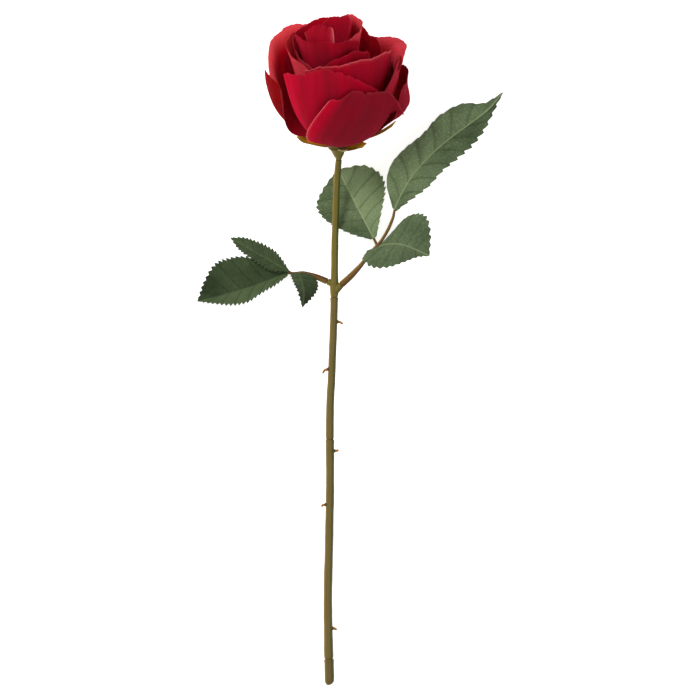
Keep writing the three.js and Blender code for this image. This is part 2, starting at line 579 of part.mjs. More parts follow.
/** The middle surface of a leaflet: u from its left edge to its right, v from base to tip. */
function leafletSurface(leaf) {
  const base = new THREE.Vector3(...leaf.base, 0);
  const chord = new THREE.Vector3(...leaf.tip, 0).sub(base).normalize();
  const right = new THREE.Vector3(chord.y, -chord.x, 0);
  const length = Math.hypot(leaf.tip[0] - leaf.base[0], leaf.tip[1] - leaf.base[1]);
  const steps = leaf.vein.length - 1;
  return (u, v, toothed = 0) => {
    const veinOut = spline(leaf.vein, v * steps);
    const veinAlong = v * length;
    const [edgeAlong, edgeOut] = splinePoint(u < 0 ? leaf.left : leaf.right, v * steps);
    const reach = Math.abs(u) * (1 - toothed * TOOTH_DEPTH / Math.max(Math.abs(edgeOut - veinOut), 3));
    const along = veinAlong + (edgeAlong - veinAlong) * reach;
    const out = veinOut + (edgeOut - veinOut) * reach;
    const away = Math.abs(out - veinOut);
    const fold = u < 0 ? leaf.foldLeft : leaf.foldRight;
    const height = spline(leaf.rise, v * steps) + fold * away + leaf.curl * away * away;
    return base.clone().addScaledVector(chord, along).addScaledVector(right, out)
      .setZ(height + LEAF_THICKNESS / 2);
  };
}

/** A leaflet with a toothed edge: two rows of the sheet to each tooth. */
function leaflet(leaf) {
  const surface = leafletSurface(leaf);
  const rows = leaf.teeth * 2;
  const toothed = (u, v) => {
    const atEdge = Math.abs(u) > 1 - 1 / LEAF_CELLS_ACROSS;
    const notched = atEdge && Math.round(v * rows) % 2 === 1;
    return surface(u, v, notched ? ease(1 - v, 0, 3 / rows) : 0);
  };
  return sheet(toothed, [LEAF_CELLS_ACROSS, rows], LEAF_THICKNESS);
}

// ---------------------------------------------------------------- bloom

// The bloom's own directions: along its axis, to the right of the viewer, and toward the viewer
const RIGHT = new THREE.Vector3(Math.cos(BLOOM_LEAN), Math.sin(BLOOM_LEAN), 0);
const UP = new THREE.Vector3(-Math.sin(BLOOM_LEAN), Math.cos(BLOOM_LEAN), Math.tan(BLOOM_TILT)).normalize();
const FRONT = new THREE.Vector3().crossVectors(RIGHT, UP);

/** The place in the part of a point that is right, front and up of the bloom's base. */
function inBloom(right, front, up) {
  return new THREE.Vector3(...BLOOM_BASE)
    .addScaledVector(RIGHT, right).addScaledVector(FRONT, front).addScaledVector(UP, up);
}

/** [radius, height] on a cup, t from 0 at its root to 1 at its rim. */
function cupPoint(cup, t) {
  return splinePoint(CUPS.map((profile) => splinePoint(profile, t * (profile.length - 1))), cup);
}

/** The middle surface of a petal or sepal: u from its left edge to its right, v from root to rim. */
function petalSurface(petal) {
  const { out = [0, 0], roll = [0, 0], belly = [0, 0], slant = 0, shoulder = SHOULDER, start = 0 } = petal;
  const across = (values, u) => spline(values, (u + 1) / 2 * (values.length - 1));
  return (u, v) => {
    const rim = across(petal.rim, u) * (1 - shoulder * u ** 4);
    const left = spline(petal.left, v * 2);
    const right = spline(petal.right, v * 2);
    const turn = THREE.MathUtils.degToRad(left + (right - left) * (u + 1) / 2);
    const rolled = Math.max((v - ROLL_START) / (1 - ROLL_START), 0) ** 2;
    const cup = petal.cup + slant * u * ease(v, 0, SLANT_END) + across(out, u) * v * v
      + across(belly, u) * Math.sin(Math.PI * v) + across(roll, u) * rolled;
    const [radius, height] = cupPoint(cup, start + (rim - start) * v);
    return inBloom(radius * Math.sin(turn), radius * Math.cos(turn), height);
  };
}

/** A petal: a sheet on its cup. */
function petalSheet(petal) {
  return sheet(petalSurface(petal), petal.cells ?? PETAL_CELLS, PETAL_THICKNESS);
}

/** A solid of revolution about the bloom's axis. */
function turned(profile, sides) {
  const corners = profile.map(([radius, height]) => new THREE.Vector2(radius, height));
  const lathe = new THREE.LatheGeometry(corners, sides);
  const frame = new THREE.Matrix4().makeBasis(RIGHT, UP, FRONT);
  frame.setPosition(...BLOOM_BASE);
  lathe.applyMatrix4(frame);
  return lathe;
}

/** The calyx: a funnel on the stem with five sepals under the petals. */
function calyx() {
  const funnel = turned([[0, CALYX[0][1]], ...CALYX, [0, CALYX[CALYX.length - 1][1]]], CALYX_SIDES);
  const sepals = SEPALS.map((sepal) => (
    sheet(petalSurface({ ...sepal, start: SEPAL_START, shoulder: 0 }), SEPAL_CELLS, SEPAL_THICKNESS)));
  const bottom = CALYX[0][1] - 1;
  const hole = [[0, bottom], [BORE_RADIUS, bottom], [BORE_RADIUS, CALYX_BORE_END], [0, CALYX_BORE_END]];
  const bore = turned(hole, TUBE_SIDES);
  return cut(joined([funnel, ...sepals]), [bore]);
}

// ---------------------------------------------------------------- the rose

const rose = new THREE.Group();

/** Adds one named piece to the rose. */
function add(name, geometry, material) {
  geometry.computeVertexNormals();
  const mesh = new THREE.Mesh(geometry, material);
  mesh.name = name;
  rose.add(mesh);
}

add('stem_wire', stemWire(), wireGrey);
add('stem_end_cap', stemCap(), stemGreen);
add('stem_lower', joined([stemPiece(CAP_END, LOWER_END), ...THORNS.stem_lower.map(thorn)]), stemGreen);
add('stem_middle', joined([stemPiece(LOWER_END, MIDDLE_END), ...THORNS.stem_middle.map(thorn)]), stemGreen);
add('stem_upper', stemUpper(), stemGreen);
add('left_leaf_stalk', stalk(LEFT_SOCKET, LEFT_STALK, LEFT_STALK_END, LEFT_TWIGS), stalkBrown);
add('right_leaf_stalk', stalk(RIGHT_SOCKET, RIGHT_STALK, RIGHT_STALK_END, RIGHT_TWIGS), stalkBrown);
LEAFLETS.forEach((leaf) => add(leaf.name, leaflet(leaf), leafGreen));
add('calyx', calyx(), stemGreen);
add('bud_core', turned(BUD_CORE, CORE_SIDES), stemGreen);
PETALS.forEach((petal) => add(petal.name, petalSheet(petal), petalRed));

const middle = new THREE.Box3().setFromObject(rose).getCenter(new THREE.Vector3());
rose.position.set(-middle.x, -middle.y, 0);
rose.updateMatrixWorld(true);

export default rose;
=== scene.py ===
"""Artificial rose lying on a pale table, seen from straight above.

Fabric petals and leaves on a moulded plastic stem. Shapes are worked out in millimetres in the stem's own
coordinates: y along the stem from a point near its cut end, x to the right, z up from the table. place()
moves them into the frame, in metres.
"""
import math

import bpy
import numpy as np
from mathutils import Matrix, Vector


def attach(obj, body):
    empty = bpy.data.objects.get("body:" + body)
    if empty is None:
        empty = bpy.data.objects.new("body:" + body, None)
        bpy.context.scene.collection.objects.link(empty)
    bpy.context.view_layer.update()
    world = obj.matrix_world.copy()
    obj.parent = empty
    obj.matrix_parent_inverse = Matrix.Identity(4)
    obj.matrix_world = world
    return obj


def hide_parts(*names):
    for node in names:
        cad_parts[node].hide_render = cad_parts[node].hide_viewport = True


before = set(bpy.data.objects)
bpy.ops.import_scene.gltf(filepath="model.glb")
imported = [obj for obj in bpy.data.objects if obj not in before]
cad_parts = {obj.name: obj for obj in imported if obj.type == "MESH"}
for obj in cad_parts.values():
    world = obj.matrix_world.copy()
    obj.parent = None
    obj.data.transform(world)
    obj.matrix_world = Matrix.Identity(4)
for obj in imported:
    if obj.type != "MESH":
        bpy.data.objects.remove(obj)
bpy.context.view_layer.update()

MM = 0.001
MIDDLE = (16.417, 251.469)  # the point of the stem's coordinates over the frame's origin

# ---- stem, stalks: driving dimensions

# Stem: [along y, sideways x, centre height z, diameter]
STEM = [
    [-8, 0.4, 3.3, 6.6], [-4, 0.3, 3.3, 7.1], [7, 0.1, 3.3, 7], [15, -0.3, 3.4, 6.9], [27, -0.5, 3.4, 6.7],
    [50, -0.9, 3.7, 6.3], [73, -0.7, 4.1, 6.3], [96, -0.1, 4.7, 6.2], [119, 0.3, 5.6, 6.2],
    [135, 0.7, 6.4, 6.1], [158, 0.8, 7.9, 6.1], [178, 0.7, 9.2, 6.2], [189, 0.6, 9.8, 6], [212, 1, 10.9, 5.8],
    [228, 1.9, 11.6, 5.7], [251, 2.8, 12.8, 5.6], [267, 3.4, 13.7, 5.6], [282, 3.9, 14.6, 5.6],
    [309, 4.3, 16.1, 5.4], [321, 4.4, 16.8, 5.3], [336, 4.6, 17.7, 5.2], [352, 5.1, 18.8, 5],
    [383, 6.2, 23.2, 4.8], [399.4, 7.6, 29.5, 4.5],
]
CAP_END, LOWER_END, MIDDLE_END, UPPER_END = 11, 181.5, 292, 399.0
RING_STEP = 1.3  # between rings of the stem
STEM_SIDES = 40
SEAM_BEVEL = 0.42  # rounding where two stem pieces meet
SEAM_GAP = 0.06  # between two stem pieces
CAP_TIP, CAP_ROUNDING, CAP_SKEW = 0.7, 2.7, 0.6  # the cap's end: past the cut, rounded, off to the right
LIP_SWELL, LIP_WAIST = 0.26, 0.3  # how much thicker a piece's upper end is, and thinner its lower end
NO_LIP = 40  # takes a lip past the end of its piece
CAP_LIP = 0.2  # how much thicker the cap is at its upper end
FLASH = 0.16  # height of the moulding seams along both sides of the stem
STALK_FLASH, TWIG_FLASH = 0.1, 0.08  # the same on leaf stalks and their twigs
RIDGE_WIDTH = 0.13  # their width, as a part of the radius
WAVER = 0.05  # how much a moulded rod's radius wavers, in millimetres
THIN = 0.8  # the radius up to which it doesn't

# Thorns: distance along the stem, side (-1 left, 1 right), reach, and droop toward the cut end
THORNS = {
    "stem_lower": [[35, 1, 3.4, 1.2], [131, -1, 3.6, 1.4], [173, 1, 3.6, -0.6]],
    "stem_middle": [[236, -1, 4.4, 3.0], [273, 1, 4.2, 1.8]],
}
THORN_SIDE = 5  # added to a thorn's side, so that its material can tell it
THORN_RISE = 0.4  # how far above the middle of the stem's side a thorn stands
THORN_RINGS, THORN_SIDES = 25, 16

# A thorn's shape: [part of its reach, part of its droop, radius]; a negative reach is in millimetres
THORN_SHAPE = [
    [-0.9, -0.2, 1.9], [0, -0.1, 1.5], [0.3, 0, 1.05], [0.65, 0.2, 0.9], [0.92, 0.8, 0.75], [1, 1, 0.4],
]

NODE = {"y": 300, "bulge": 0.5, "length": 11}  # the swelling that carries the leaf sockets

# Leaf sockets of the upper stem: start on its centre line, direction and length
LEFT_SOCKET = ([3.8, 302.5, 15.8], [-0.93, 0.36, -0.03], 5.3)
RIGHT_SOCKET = ([4.2, 296.4, 15.6], [0.69, 0.70, 0.22], 7.8)
SOCKET_SHAPE = [  # [part of the length, radius]
    [0.09, 2.9], [0.22, 2.85], [0.37, 2.75], [0.53, 2.65], [0.7, 2.55], [0.85, 2.5], [0.95, 2.45],
    [0.985, 2.3], [1, 2],
]
SOCKET_SIDES = 28
PIN_RADIUS = 1.2  # of a stalk's pin in its socket
SHOULDER_GAP = 0.3  # between a socket's mouth and the stalk's shoulder

# Leaf stalks and twigs: [x, y, z, radius] along the centre line, then [leaflet, along its vein, radius]
LEFT_STALK = [
    [-3.4, 305.4, 15.6, 2.35], [-9.5, 307.9, 15.3, 2.15], [-13.9, 309.5, 14.8, 1.8], [-20, 311.2, 13.8, 1.25],
    [-27, 310.8, 12.2, 1],
]
LEFT_END = [["left_leaf_terminal", 0.02, 0.9], ["left_leaf_terminal", 0.16, 0.7]]
LEFT_TWIGS = [
    ([-22.8, 311.4, 13.2, 0.9], [["left_leaf_small", 0.1, 0.7], ["left_leaf_small", 0.24, 0.6]]),
    ([-28.6, 310.4, 11.8, 0.9], [["left_leaf_upper", 0.03, 0.8], ["left_leaf_upper", 0.16, 0.7]]),
]
RIGHT_STALK = [
    [12.2, 304.3, 18.3, 2.45], [16.3, 308.1, 19.8, 2.4], [21.5, 313.4, 21.8, 2.1], [26.4, 319.2, 23.2, 1.6],
    [30.6, 325, 24.3, 1.4], [37.4, 332.2, 25.8, 1.3],
    [42.2, 338.4, 27, 1.2], [46.6, 346.4, 28.2, 1.15], [49.6, 354, 29, 1.05],
]
RIGHT_END = [["right_leaf_terminal", 0.01, 0.9], ["right_leaf_terminal", 0.09, 0.7]]
RIGHT_TWIGS = [
    ([37.4, 332.2, 25.7, 1.1], [["right_leaf_rear", 0.02, 0.95], ["right_leaf_rear", 0.2, 0.7]]),
    ([37.4, 331.4, 25.7, 1.1], [["right_leaf_front", 0.04, 0.9], ["right_leaf_front", 0.22, 0.7]]),
]
LEAFLET_SEAT = 0.45  # between a leaflet and the stalk under it
STALK_STEPS = 10  # rings from one point of a stalk to the next
STALK_SIDES = 20

# ---- leaflets

LEAF_THICKNESS = 0.5
LEAF_SOLID = 0.7  # thickness of the solid that a leaflet stands for

# Leaflets: base and tip of the chord; left and right edge as [along, out] from the base; vein is how far out
# the midrib lies and rise its height; fold lifts the halves per millimetre out and curl per its square;
# teeth is the number on an edge. tooth (their depth) and shade (the colour, painted light and shade on each
# half) are given at the left base, left tip, right base and right tip. ribs is the number of side veins on a
# half and quilt their relief.
LEAFLETS = {
    "left_leaf_terminal": dict(
        base=(-32.6, 311.2), tip=(-102.3, 289.2),
        left=[[0, -2.3], [12, -7], [24, -9.5], [37, -12.8], [49, -11.2], [61, -6], [73, -0.3]],
        right=[[0, 1.5], [12, 10.5], [26, 21.2], [40, 24.6], [52, 23.4], [64, 12.4], [73, 0.3]],
        vein=[0, -1, -1.7, -1.8, -1.6, -1.2, 0],
        rise=[12.6, 11, 9.4, 8, 6, 3.2, 0], fold=(0.34, 0.1), curl=-0.003,
        teeth=22, tooth=[2, 2.4, 2, 2.6], ribs=7, quilt=0.9, shade=[0.6, 0.5, -0.02, -0.12]),
    "left_leaf_upper": dict(
        base=(-31.6, 312.4), tip=(-76, 338.1),
        left=[[0, -0.8], [9, -5.4], [17, -7.4], [26, -7], [35, -5.8], [43, -4.3], [51.8, -0.3]],
        right=[[0, 0.8], [9, 5.8], [17, 8.5], [26, 8.9], [35, 7.8], [43, 5.4], [51.8, 0.3]],
        vein=[0, 0, 0, 0, 0, 0, 0],
        rise=[15.4, 16, 15.4, 14, 12, 9.6, 7], fold=(-0.08, -0.2), curl=0,
        teeth=17, tooth=[2, 2, 2.2, 2], ribs=6, quilt=0.6, shade=[0.05, 0.05, 0.1, 0.15]),
    "left_leaf_small": dict(
        base=(-24.6, 311), tip=(-20.6, 284.6),
        left=[[1.1, -6.5], [4.4, -12.4], [9.5, -14.7], [14.5, -13.8], [18.6, -11], [22.8, -6.2],
              [26.6, -0.3]],
        right=[[-0.8, 4.5], [0.6, 5.6], [4.4, 4.6], [8.8, 3.4], [13.3, 2.2], [20, 1.2], [26.6, 0.3]],
        vein=[-1, -2.2, -3, -3.2, -2.6, -1.5, 0],
        rise=[19.2, 19.2, 17.8, 14.6, 10.8, 7.2, 4.2], fold=(0.01, -0.1), curl=0,
        teeth=11, tooth=[0.8, 2.4, 1.6, 1.8], ribs=4, quilt=0.4, shade=[0.05, -0.25, 0.25, -0.1]),
    "right_leaf_terminal": dict(
        base=(50.8, 360), tip=(134.9, 451.3),
        left=[[0, -2], [11, -18.5], [25, -26], [41, -26.4], [58, -24], [77, -24.2], [96, -17.5], [108, -5.5],
              [124, -0.3]],
        right=[[0, 1.7], [15.5, 4.6], [31, 7.2], [46.5, 7], [62, 9.2], [77.5, 10.9], [93, 9.4], [108.5, 4.8],
               [124, 0.3]],
        vein=[0, -5.2, -8, -8.3, -7.2, -4.6, -1.6, 0.8, 0],
        rise=[31, 32.8, 32.6, 30.8, 27, 22, 15.9, 8.3, 0], fold=(-0.12, -0.34), curl=-0.004,
        teeth=17, tooth=[0.3, 1.1, 1.6, 2.4], ribs=8, quilt=2.2, shade=[0.42, 0, 0.2, -0.3]),
    "right_leaf_rear": dict(
        base=(34.6, 338), tip=(6.3, 391.5),
        left=[[0, -2.3], [10, -13.2], [21, -21.7], [32, -27.2], [43, -27.6], [52, -17.5], [60.5, -0.3]],
        right=[[0, 2.3], [10, 10.6], [21, 19.8], [31, 26.8], [42, 28], [54, 19.4], [60.5, 0.3]],
        vein=[0, 0, 0.2, 0.4, 0.6, 0.6, 0],
        rise=[26.8, 24, 18.4, 13.8, 11, 9.4, 8.4], fold=(-0.28, -0.1), curl=0,
        teeth=15, tooth=[1.2, 2, 1.4, 2.3], ribs=6, quilt=1, shade=[-0.1, 0.05, 0.6, 1.1]),
    "right_leaf_front": dict(
        base=(39.4, 331.9), tip=(77.8, 324.6),
        left=[[0, -0.8], [7, -12], [15, -25], [24, -30.4], [32, -28.8], [37.3, -16], [39.2, -0.3]],
        right=[[-9, 5.2], [-11.2, 12.4], [-3, 17.4], [9, 15.2], [20, 9.2], [29.8, 3.2], [39.2, 0.3]],
        vein=[0, -2.8, -4.2, -4.2, -3, -1.4, 0],
        rise=[28.2, 28.8, 27.6, 24.4, 20.4, 16, 12], fold=(-0.16, -0.1), curl=0,
        teeth=15, tooth=[0.3, 3, 1.8, 1.6], ribs=5, quilt=0.6, shade=[0.05, -0.1, 0.1, -0.05]),
}
ROWS_PER_TOOTH = 8
LEAF_COLUMNS = 44
LEAF_MARGIN, PETAL_MARGIN, SEPAL_MARGIN = 0.004, 0.006, 0.03  # how far inside their edges one more row runs
TOOTH_BASE = 0.3  # how much of a tooth lies outside the outline
RIB_SLANT = 0.62  # how far up the leaf a side vein ends, as a part of the leaf's width

# ---- bloom

BLOOM_BASE = np.array([7.0, 408.0, 33.0])
BLOOM_TILT = math.radians(22)
BLOOM_LEAN = math.radians(4)
PETAL_THICKNESS = 0.4

# Cups, innermost first: [radius, height] at five even steps from the root to the rim
CUPS = np.array([
    [[1.5, 27], [4, 47], [5, 68], [6, 88], [6.5, 106]],
    [[3, 24], [8, 41], [11.5, 62], [14.5, 84], [17, 106]],
    [[4.5, 20], [13, 35], [18.5, 55], [22.5, 78], [27, 101]],
    [[6, 15], [20, 27], [28, 46], [33.5, 68], [37.5, 91]],
    [[7, 9], [26, 19.5], [38, 37], [45.5, 61], [48.5, 86]],
    [[8, 4], [31, 13], [46.5, 32], [54, 56], [55.5, 78]],
    [[9, -2], [38, 6], [55, 24], [63, 48], [66, 68]],
], float)

# Petals: cup number; left and right edges in degrees round the axis (0 toward the viewer, 90 right) at the
# root, half way up and at the rim; rim as parts of the cup's height from left to right. Optional: out and
# roll (cups that the rim leans and rolls outward), belly (the same half way up), bulge [height, width, cups],
# slant (right edge outside the left one), shoulder (how far the rim's corners drop), crease (depth of the
# soft folds, in cups), dents in the rim as [place, width, depth]. For the material: tone
# from left to right (the cloth's own tone, with painted light and shade where a petal turns to or from the
# light), blush [amount, start, end] toward the rim (a painted pink sheen), and pale edges [left, rim,
# right] (partly fraying, partly a painted highlight on the cut edges).
PETALS = {
    "petal_heart_1": dict(
        cup=1.3, left=[-50, -55, -80], right=[-6, -5, 14], rim=[0.965, 0.99, 0.995, 0.99, 0.985],
        roll=[0.1, -0.6, -0.95, -1, -0.95], shoulder=0.03, crease=0.01, tone=[-0.2, -0.2],
        pale=[0.2, 0, 1.3]),
    "petal_heart_2": dict(
        cup=1.1, left=[70, 62, 60], right=[130, 190, 200], rim=[0.95, 0.975, 0.985, 0.97, 0.95], slant=0.1,
        crease=0.02, tone=[-0.1, -0.1]),
    "petal_heart_3": dict(
        cup=1.25, left=[-160, -190, -195], right=[-100, -95, -95], rim=[0.9, 0.9, 0.9, 0.9, 0.9],
        slant=0.08, crease=0.02),
    "petal_heart_4": dict(
        cup=1.62, left=[-35, -60, -60], right=[50, 80, 85], rim=[0.88, 0.9, 0.91, 0.9, 0.9], slant=0.06,
        crease=0.02),
    "petal_bud_1": dict(
        cup=2.06, left=[-60, -95, -100], right=[20, 52, 56], rim=[0.99, 0.99, 0.98, 0.98, 0.97], slant=0.04,
        roll=[0.04, 0.04], crease=0.04, tone=[0.1, -0.2, -0.3, 0, -0.3], pale=[0, 0, 0]),
    "petal_bud_2": dict(
        cup=1.84, left=[50, 32, 30], right=[130, 160, 172], rim=[0.96, 0.98, 1, 1.01, 0.985], slant=0.06,
        roll=[0.04, 0.04], crease=0.03, tone=[-0.2, -0.2], blush=[0.45, 0.84, 1]),
    "petal_bud_3": dict(
        cup=2.28, left=[165, 140, 138], right=[250, 278, 282], rim=[0.97, 0.99, 0.98, 0.945, 0.96],
        slant=0.05, roll=[0.04, 0.04], crease=0.03),
    "petal_inner_1": dict(
        cup=2.36, left=[-140, -160, -160], right=[-65, -40, -34], rim=[0.86, 0.86, 0.86, 0.84, 0.8],
        blush=[0.25, 0.5, 1]),
    "petal_inner_2": dict(
        cup=2.72, left=[-135, -165, -160], right=[-60, -26, -20], rim=[0.95, 0.975, 0.95, 0.875, 0.77],
        roll=[0, 0.05, 0.1, 0, 0], blush=[0.28, 0.4, 0.8]),
    "petal_inner_3": dict(
        cup=2.66, left=[-5, -22, -12], right=[60, 80, 82], rim=[0.88, 0.93, 0.95, 0.9, 0.82]),
    "petal_inner_4": dict(
        cup=2.6, left=[100, 92, 95], right=[165, 185, 190], rim=[0.92, 0.95, 0.96, 0.95, 0.93]),
    "petal_inner_5": dict(
        cup=3.06, left=[105, 88, 92], right=[175, 200, 205], rim=[0.84, 0.91, 0.94, 0.94, 0.92],
        out=[0.4, 0.35, 0.2, 0, 0]),
    "petal_middle_1": dict(
        cup=3.45, left=[-5, -32, -34], right=[60, 82, 86], rim=[0.9, 0.945, 0.965, 0.965, 0.945],
        out=[0, 0, 0, 0.05, 0.2], slant=0.25, shoulder=0.02, crease=0.03, tone=[0.3, 0.3, 0.2, 0, -0.3],
        pale=[0.1, 0.5, 0]),
    "petal_middle_2": dict(
        cup=3.68, left=[-160, -180, -182], right=[-85, -76, -80], rim=[0.98, 1.02, 1.03, 0.99, 0.84],
        roll=[0, 0.1, 0.3, 0.4, 0.6], bulge=[0.4, 0.27, [0, 0, 0, 0.15, 1.25]], shoulder=0.03,
        blush=[1, 0.82, 1], tone=[1, 1, 0.8, 0.2, -0.9]),
    "petal_middle_3": dict(
        cup=3.55, left=[160, 150, 150], right=[225, 240, 240], rim=[0.84, 0.88, 0.88, 0.88, 0.84],
        roll=[0.1, 0.1]),
    "petal_middle_4": dict(
        cup=4.18, left=[85, 72, 74], right=[145, 160, 158], rim=[0.93, 1, 1.03, 0.98, 0.88],
        roll=[0.6, 1.1, 1.5, 1, 0.6], shoulder=0.08, tone=[-0.3, -0.3],
        blush=[0.24, 0.6, 0.95]),
    "petal_middle_5": dict(
        cup=3.86, left=[72, 74, 76], right=[110, 122, 122], rim=[0.8, 0.8, 0.8, 0.78, 0.76]),
    "petal_outer_1": dict(
        cup=4.2, left=[-45, -55, -53], right=[30, 46, 46], rim=[0.92, 0.965, 1.01, 0.895, 0.75],
        out=[-0.3, 0, 0, 0, 0], belly=[-0.25, 0, 0], roll=[0.1, 0.05, 0, 0, 0], shoulder=0.02, crease=0.05,
        dents=[[0.1, 0.04, 0.018], [0.3, 0.04, 0.02], [0.48, 0.05, 0.014]], tone=[0.9, 0.3, -0.1, 0.6, 0.4]),
    "petal_outer_2": dict(
        cup=4.6, left=[60, 30, 71], right=[115, 120, 118], rim=[0.96, 0.94, 0.9, 0.84, 0.78],
        roll=[0.1, 0.1], tone=[-0.3, -0.3], blush=[0.05, 0.3, 0.8]),
    "petal_outer_3": dict(
        cup=4.8, left=[155, 140, 140], right=[215, 232, 230], rim=[0.84, 0.9, 0.92, 0.9, 0.84],
        roll=[0.2, 0.2], shoulder=0.12, crease=0.04),
    "petal_guard_1": dict(
        cup=4.9, left=[-50, -36, -5], right=[58, 72, 68], rim=[0.84, 0.87, 0.815, 0.765, 0.6],
        out=[0, 0, 0, 0.1, 0.1], roll=[0, 0, 0, 0.05, 0.95], shoulder=0.04, crease=0.075,
        dents=[[-0.72, 0.17, 0.06], [-0.15, 0.035, 0.035], [0.02, 0.12, 0.01]],
        bulge=[0.2, 0.15, [-0.4, 0, 0]], tone=[1, -0.6, -0.9, -0.9, -0.8], pale=[1, 0.1, 0.1]),
    "petal_guard_2": dict(
        cup=4.95, left=[80, 60, 70], right=[120, 134, 128], rim=[0.76, 0.79, 0.82, 0.78, 0.7],
        out=[0.3, 0.4, 0.5, 0.4, 0.3], bulge=[0.71, 0.13, [0.3, 0.75, 0.75]], tone=[-0.8, -0.8]),
    "petal_guard_3": dict(
        cup=4.55, left=[-150, -160, -155], right=[-98, -94, -86], rim=[0.66, 0.72, 0.74, 0.78, 0.9],
        out=[0, 0, 0, 0, 0.1], belly=[0, 0.3, 0.25], shoulder=0.02, blush=[0.75, 0, 0.4]),
    "petal_guard_4": dict(
        cup=5.35, left=[150, 138, 136], right=[200, 214, 212], rim=[0.8, 0.86, 0.88, 0.86, 0.8],
        roll=[0.2, 0.2], shoulder=0.12, crease=0.04),
}
SHOULDER = 0.05  # this and the crease are for petals that give none of their own
CREASE = 0.035
ROLL_START = 0.78  # how far up a petal starts to roll outward
SLANT_END = 0.3  # how far up its right edge has come outside the left one
RIPPLE = 0.008  # waves along a petal's rim, as a part of the cup's height
FRAY = 0.0022  # the rim's fine unevenness
# default tone: the cloth's own tone, which also carries painted light and shade
TONE_AND_PAINTED_LIGHT = [0.2, 0.2]
# pale cut edges and the band they fade over: partly fraying, partly a painted highlight
PALE = [0.03, 0.05, 0.03]
PALE_BAND = 0.7  # millimetres over which a cut edge's paleness fades
PETAL_COLUMNS, PETAL_ROWS = 56, 48

# Calyx: [radius, height] outside, from the stem up to the rim, and sepals that follow the outer cups
CALYX = [[2.4, -9], [2.5, -8.4], [2.9, -7.6], [3.9, -5.9], [5.1, -3], [6.4, -0.6], [7.6, 0.6], [7.2, 1.3]]
SEPALS = [
    dict(cup=5.1, left=[-108, -99, -91], right=[-66, -78, -87], rim=[0.18, 0.22, 0.25, 0.22, 0.18],
         slant=0.26),
    dict(cup=5.3, left=[-4, -2, 8], right=[52, 46, 30], rim=[0.05, 0.07, 0.08, 0.07, 0.05], out=[0.2, 0.2]),
    dict(cup=5.5, left=[45, 54, 68], right=[92, 86, 76], rim=[0.1, 0.12, 0.14, 0.12, 0.1], slant=-0.3),
    dict(cup=5.3, left=[84, 93, 97], right=[114, 106, 100], rim=[0.33, 0.36, 0.385, 0.36, 0.33],
         out=[0.5, 0.5]),
    dict(cup=5.72, left=[172, 182, 189], right=[208, 198, 191], rim=[0.2, 0.24, 0.27, 0.24, 0.2]),
]
HIGHLIT_SEPAL = 1  # the folded one in front takes a paler plastic: a painted highlight
SEPAL_START = -0.04  # where a sepal leaves the funnel, as a part of its cup's height
SEPAL_THICKNESS = 0.9
SEPAL_COLUMNS, SEPAL_ROWS = 12, 30
CALYX_SIDES, CALYX_STEPS = 48, 6


# ---- curves

def hermite(start, end, first, last, f):
    """The cubic from start to end with slopes first and last, f of the way along."""
    return ((1 + 2 * f) * (1 - f) ** 2 * start + f * (1 - f) ** 2 * first
            + f * f * (3 - 2 * f) * end + f * f * (f - 1) * last)


def cubic(before, start, end, after, f):
    """The cubic between start and end, f of the way along, straight beyond both."""
    first = (end - before) / 2
    last = (after - start) / 2
    inside = hermite(start, end, first, last, f)
    return np.where(f < 0, start + first * f, np.where(f > 1, end + last * (f - 1), inside))


def through(row, count, x):
    """A smooth curve at x through the rows 0, 1, 2 ..., where row(i) gives them at whole numbers."""
    last = count - 1
    i = np.clip(np.floor(x).astype(int), 0, last - 1)
    start, end = row(i), row(i + 1)
    spare = start.ndim - x.ndim
    open_up = (...,) + (None,) * spare
    before = np.where((i > 0)[open_up], row(np.maximum(i - 1, 0)), 2 * start - end)
    after = np.where((i < last - 1)[open_up], row(np.minimum(i + 2, last)), 2 * end - start)
    return cubic(before, start, end, after, (x - i)[open_up])


def spline(values, x):
    """A smooth curve through values, or rows of values, at x = 0, 1, 2 ..."""
    values = np.asarray(values, float)
    return through(lambda i: values[i], len(values), np.asarray(x, float))


def spread(values, t):
    """A smooth curve through values spread evenly over t = 0 to 1."""
    return spline(values, t * (len(values) - 1))


def resampled(rows, count):
    """This many points, evenly along a smooth curve through rows."""
    return spline(rows, np.linspace(0, len(rows) - 1, count))


def ease(x, low, high):
    """0 below low, 1 above high, and smooth between."""
    t = np.clip((x - low) / (high - low), 0, 1)
    return t * t * (3 - 2 * t)


def cup_point(cup, t):
    """[radius, height] on a cup, t from 0 at its root to 1 at its rim."""
    rows = np.stack([spread(profile, t) for profile in CUPS], axis=-2)

    def row(i):
        return np.take_along_axis(rows, i[..., None, None], axis=-2)[..., 0, :]

    return through(row, len(CUPS), np.broadcast_to(cup, t.shape))


# ---- meshes

def place(points):
    """The stem's coordinates in millimetres as the frame's in metres."""
    return (points - np.array([*MIDDLE, 0.0])) * MM


def add_object(name, data):
    """A new object with this data, in the scene."""
    made = bpy.data.objects.new(name, data)
    bpy.context.scene.collection.objects.link(made)
    return made


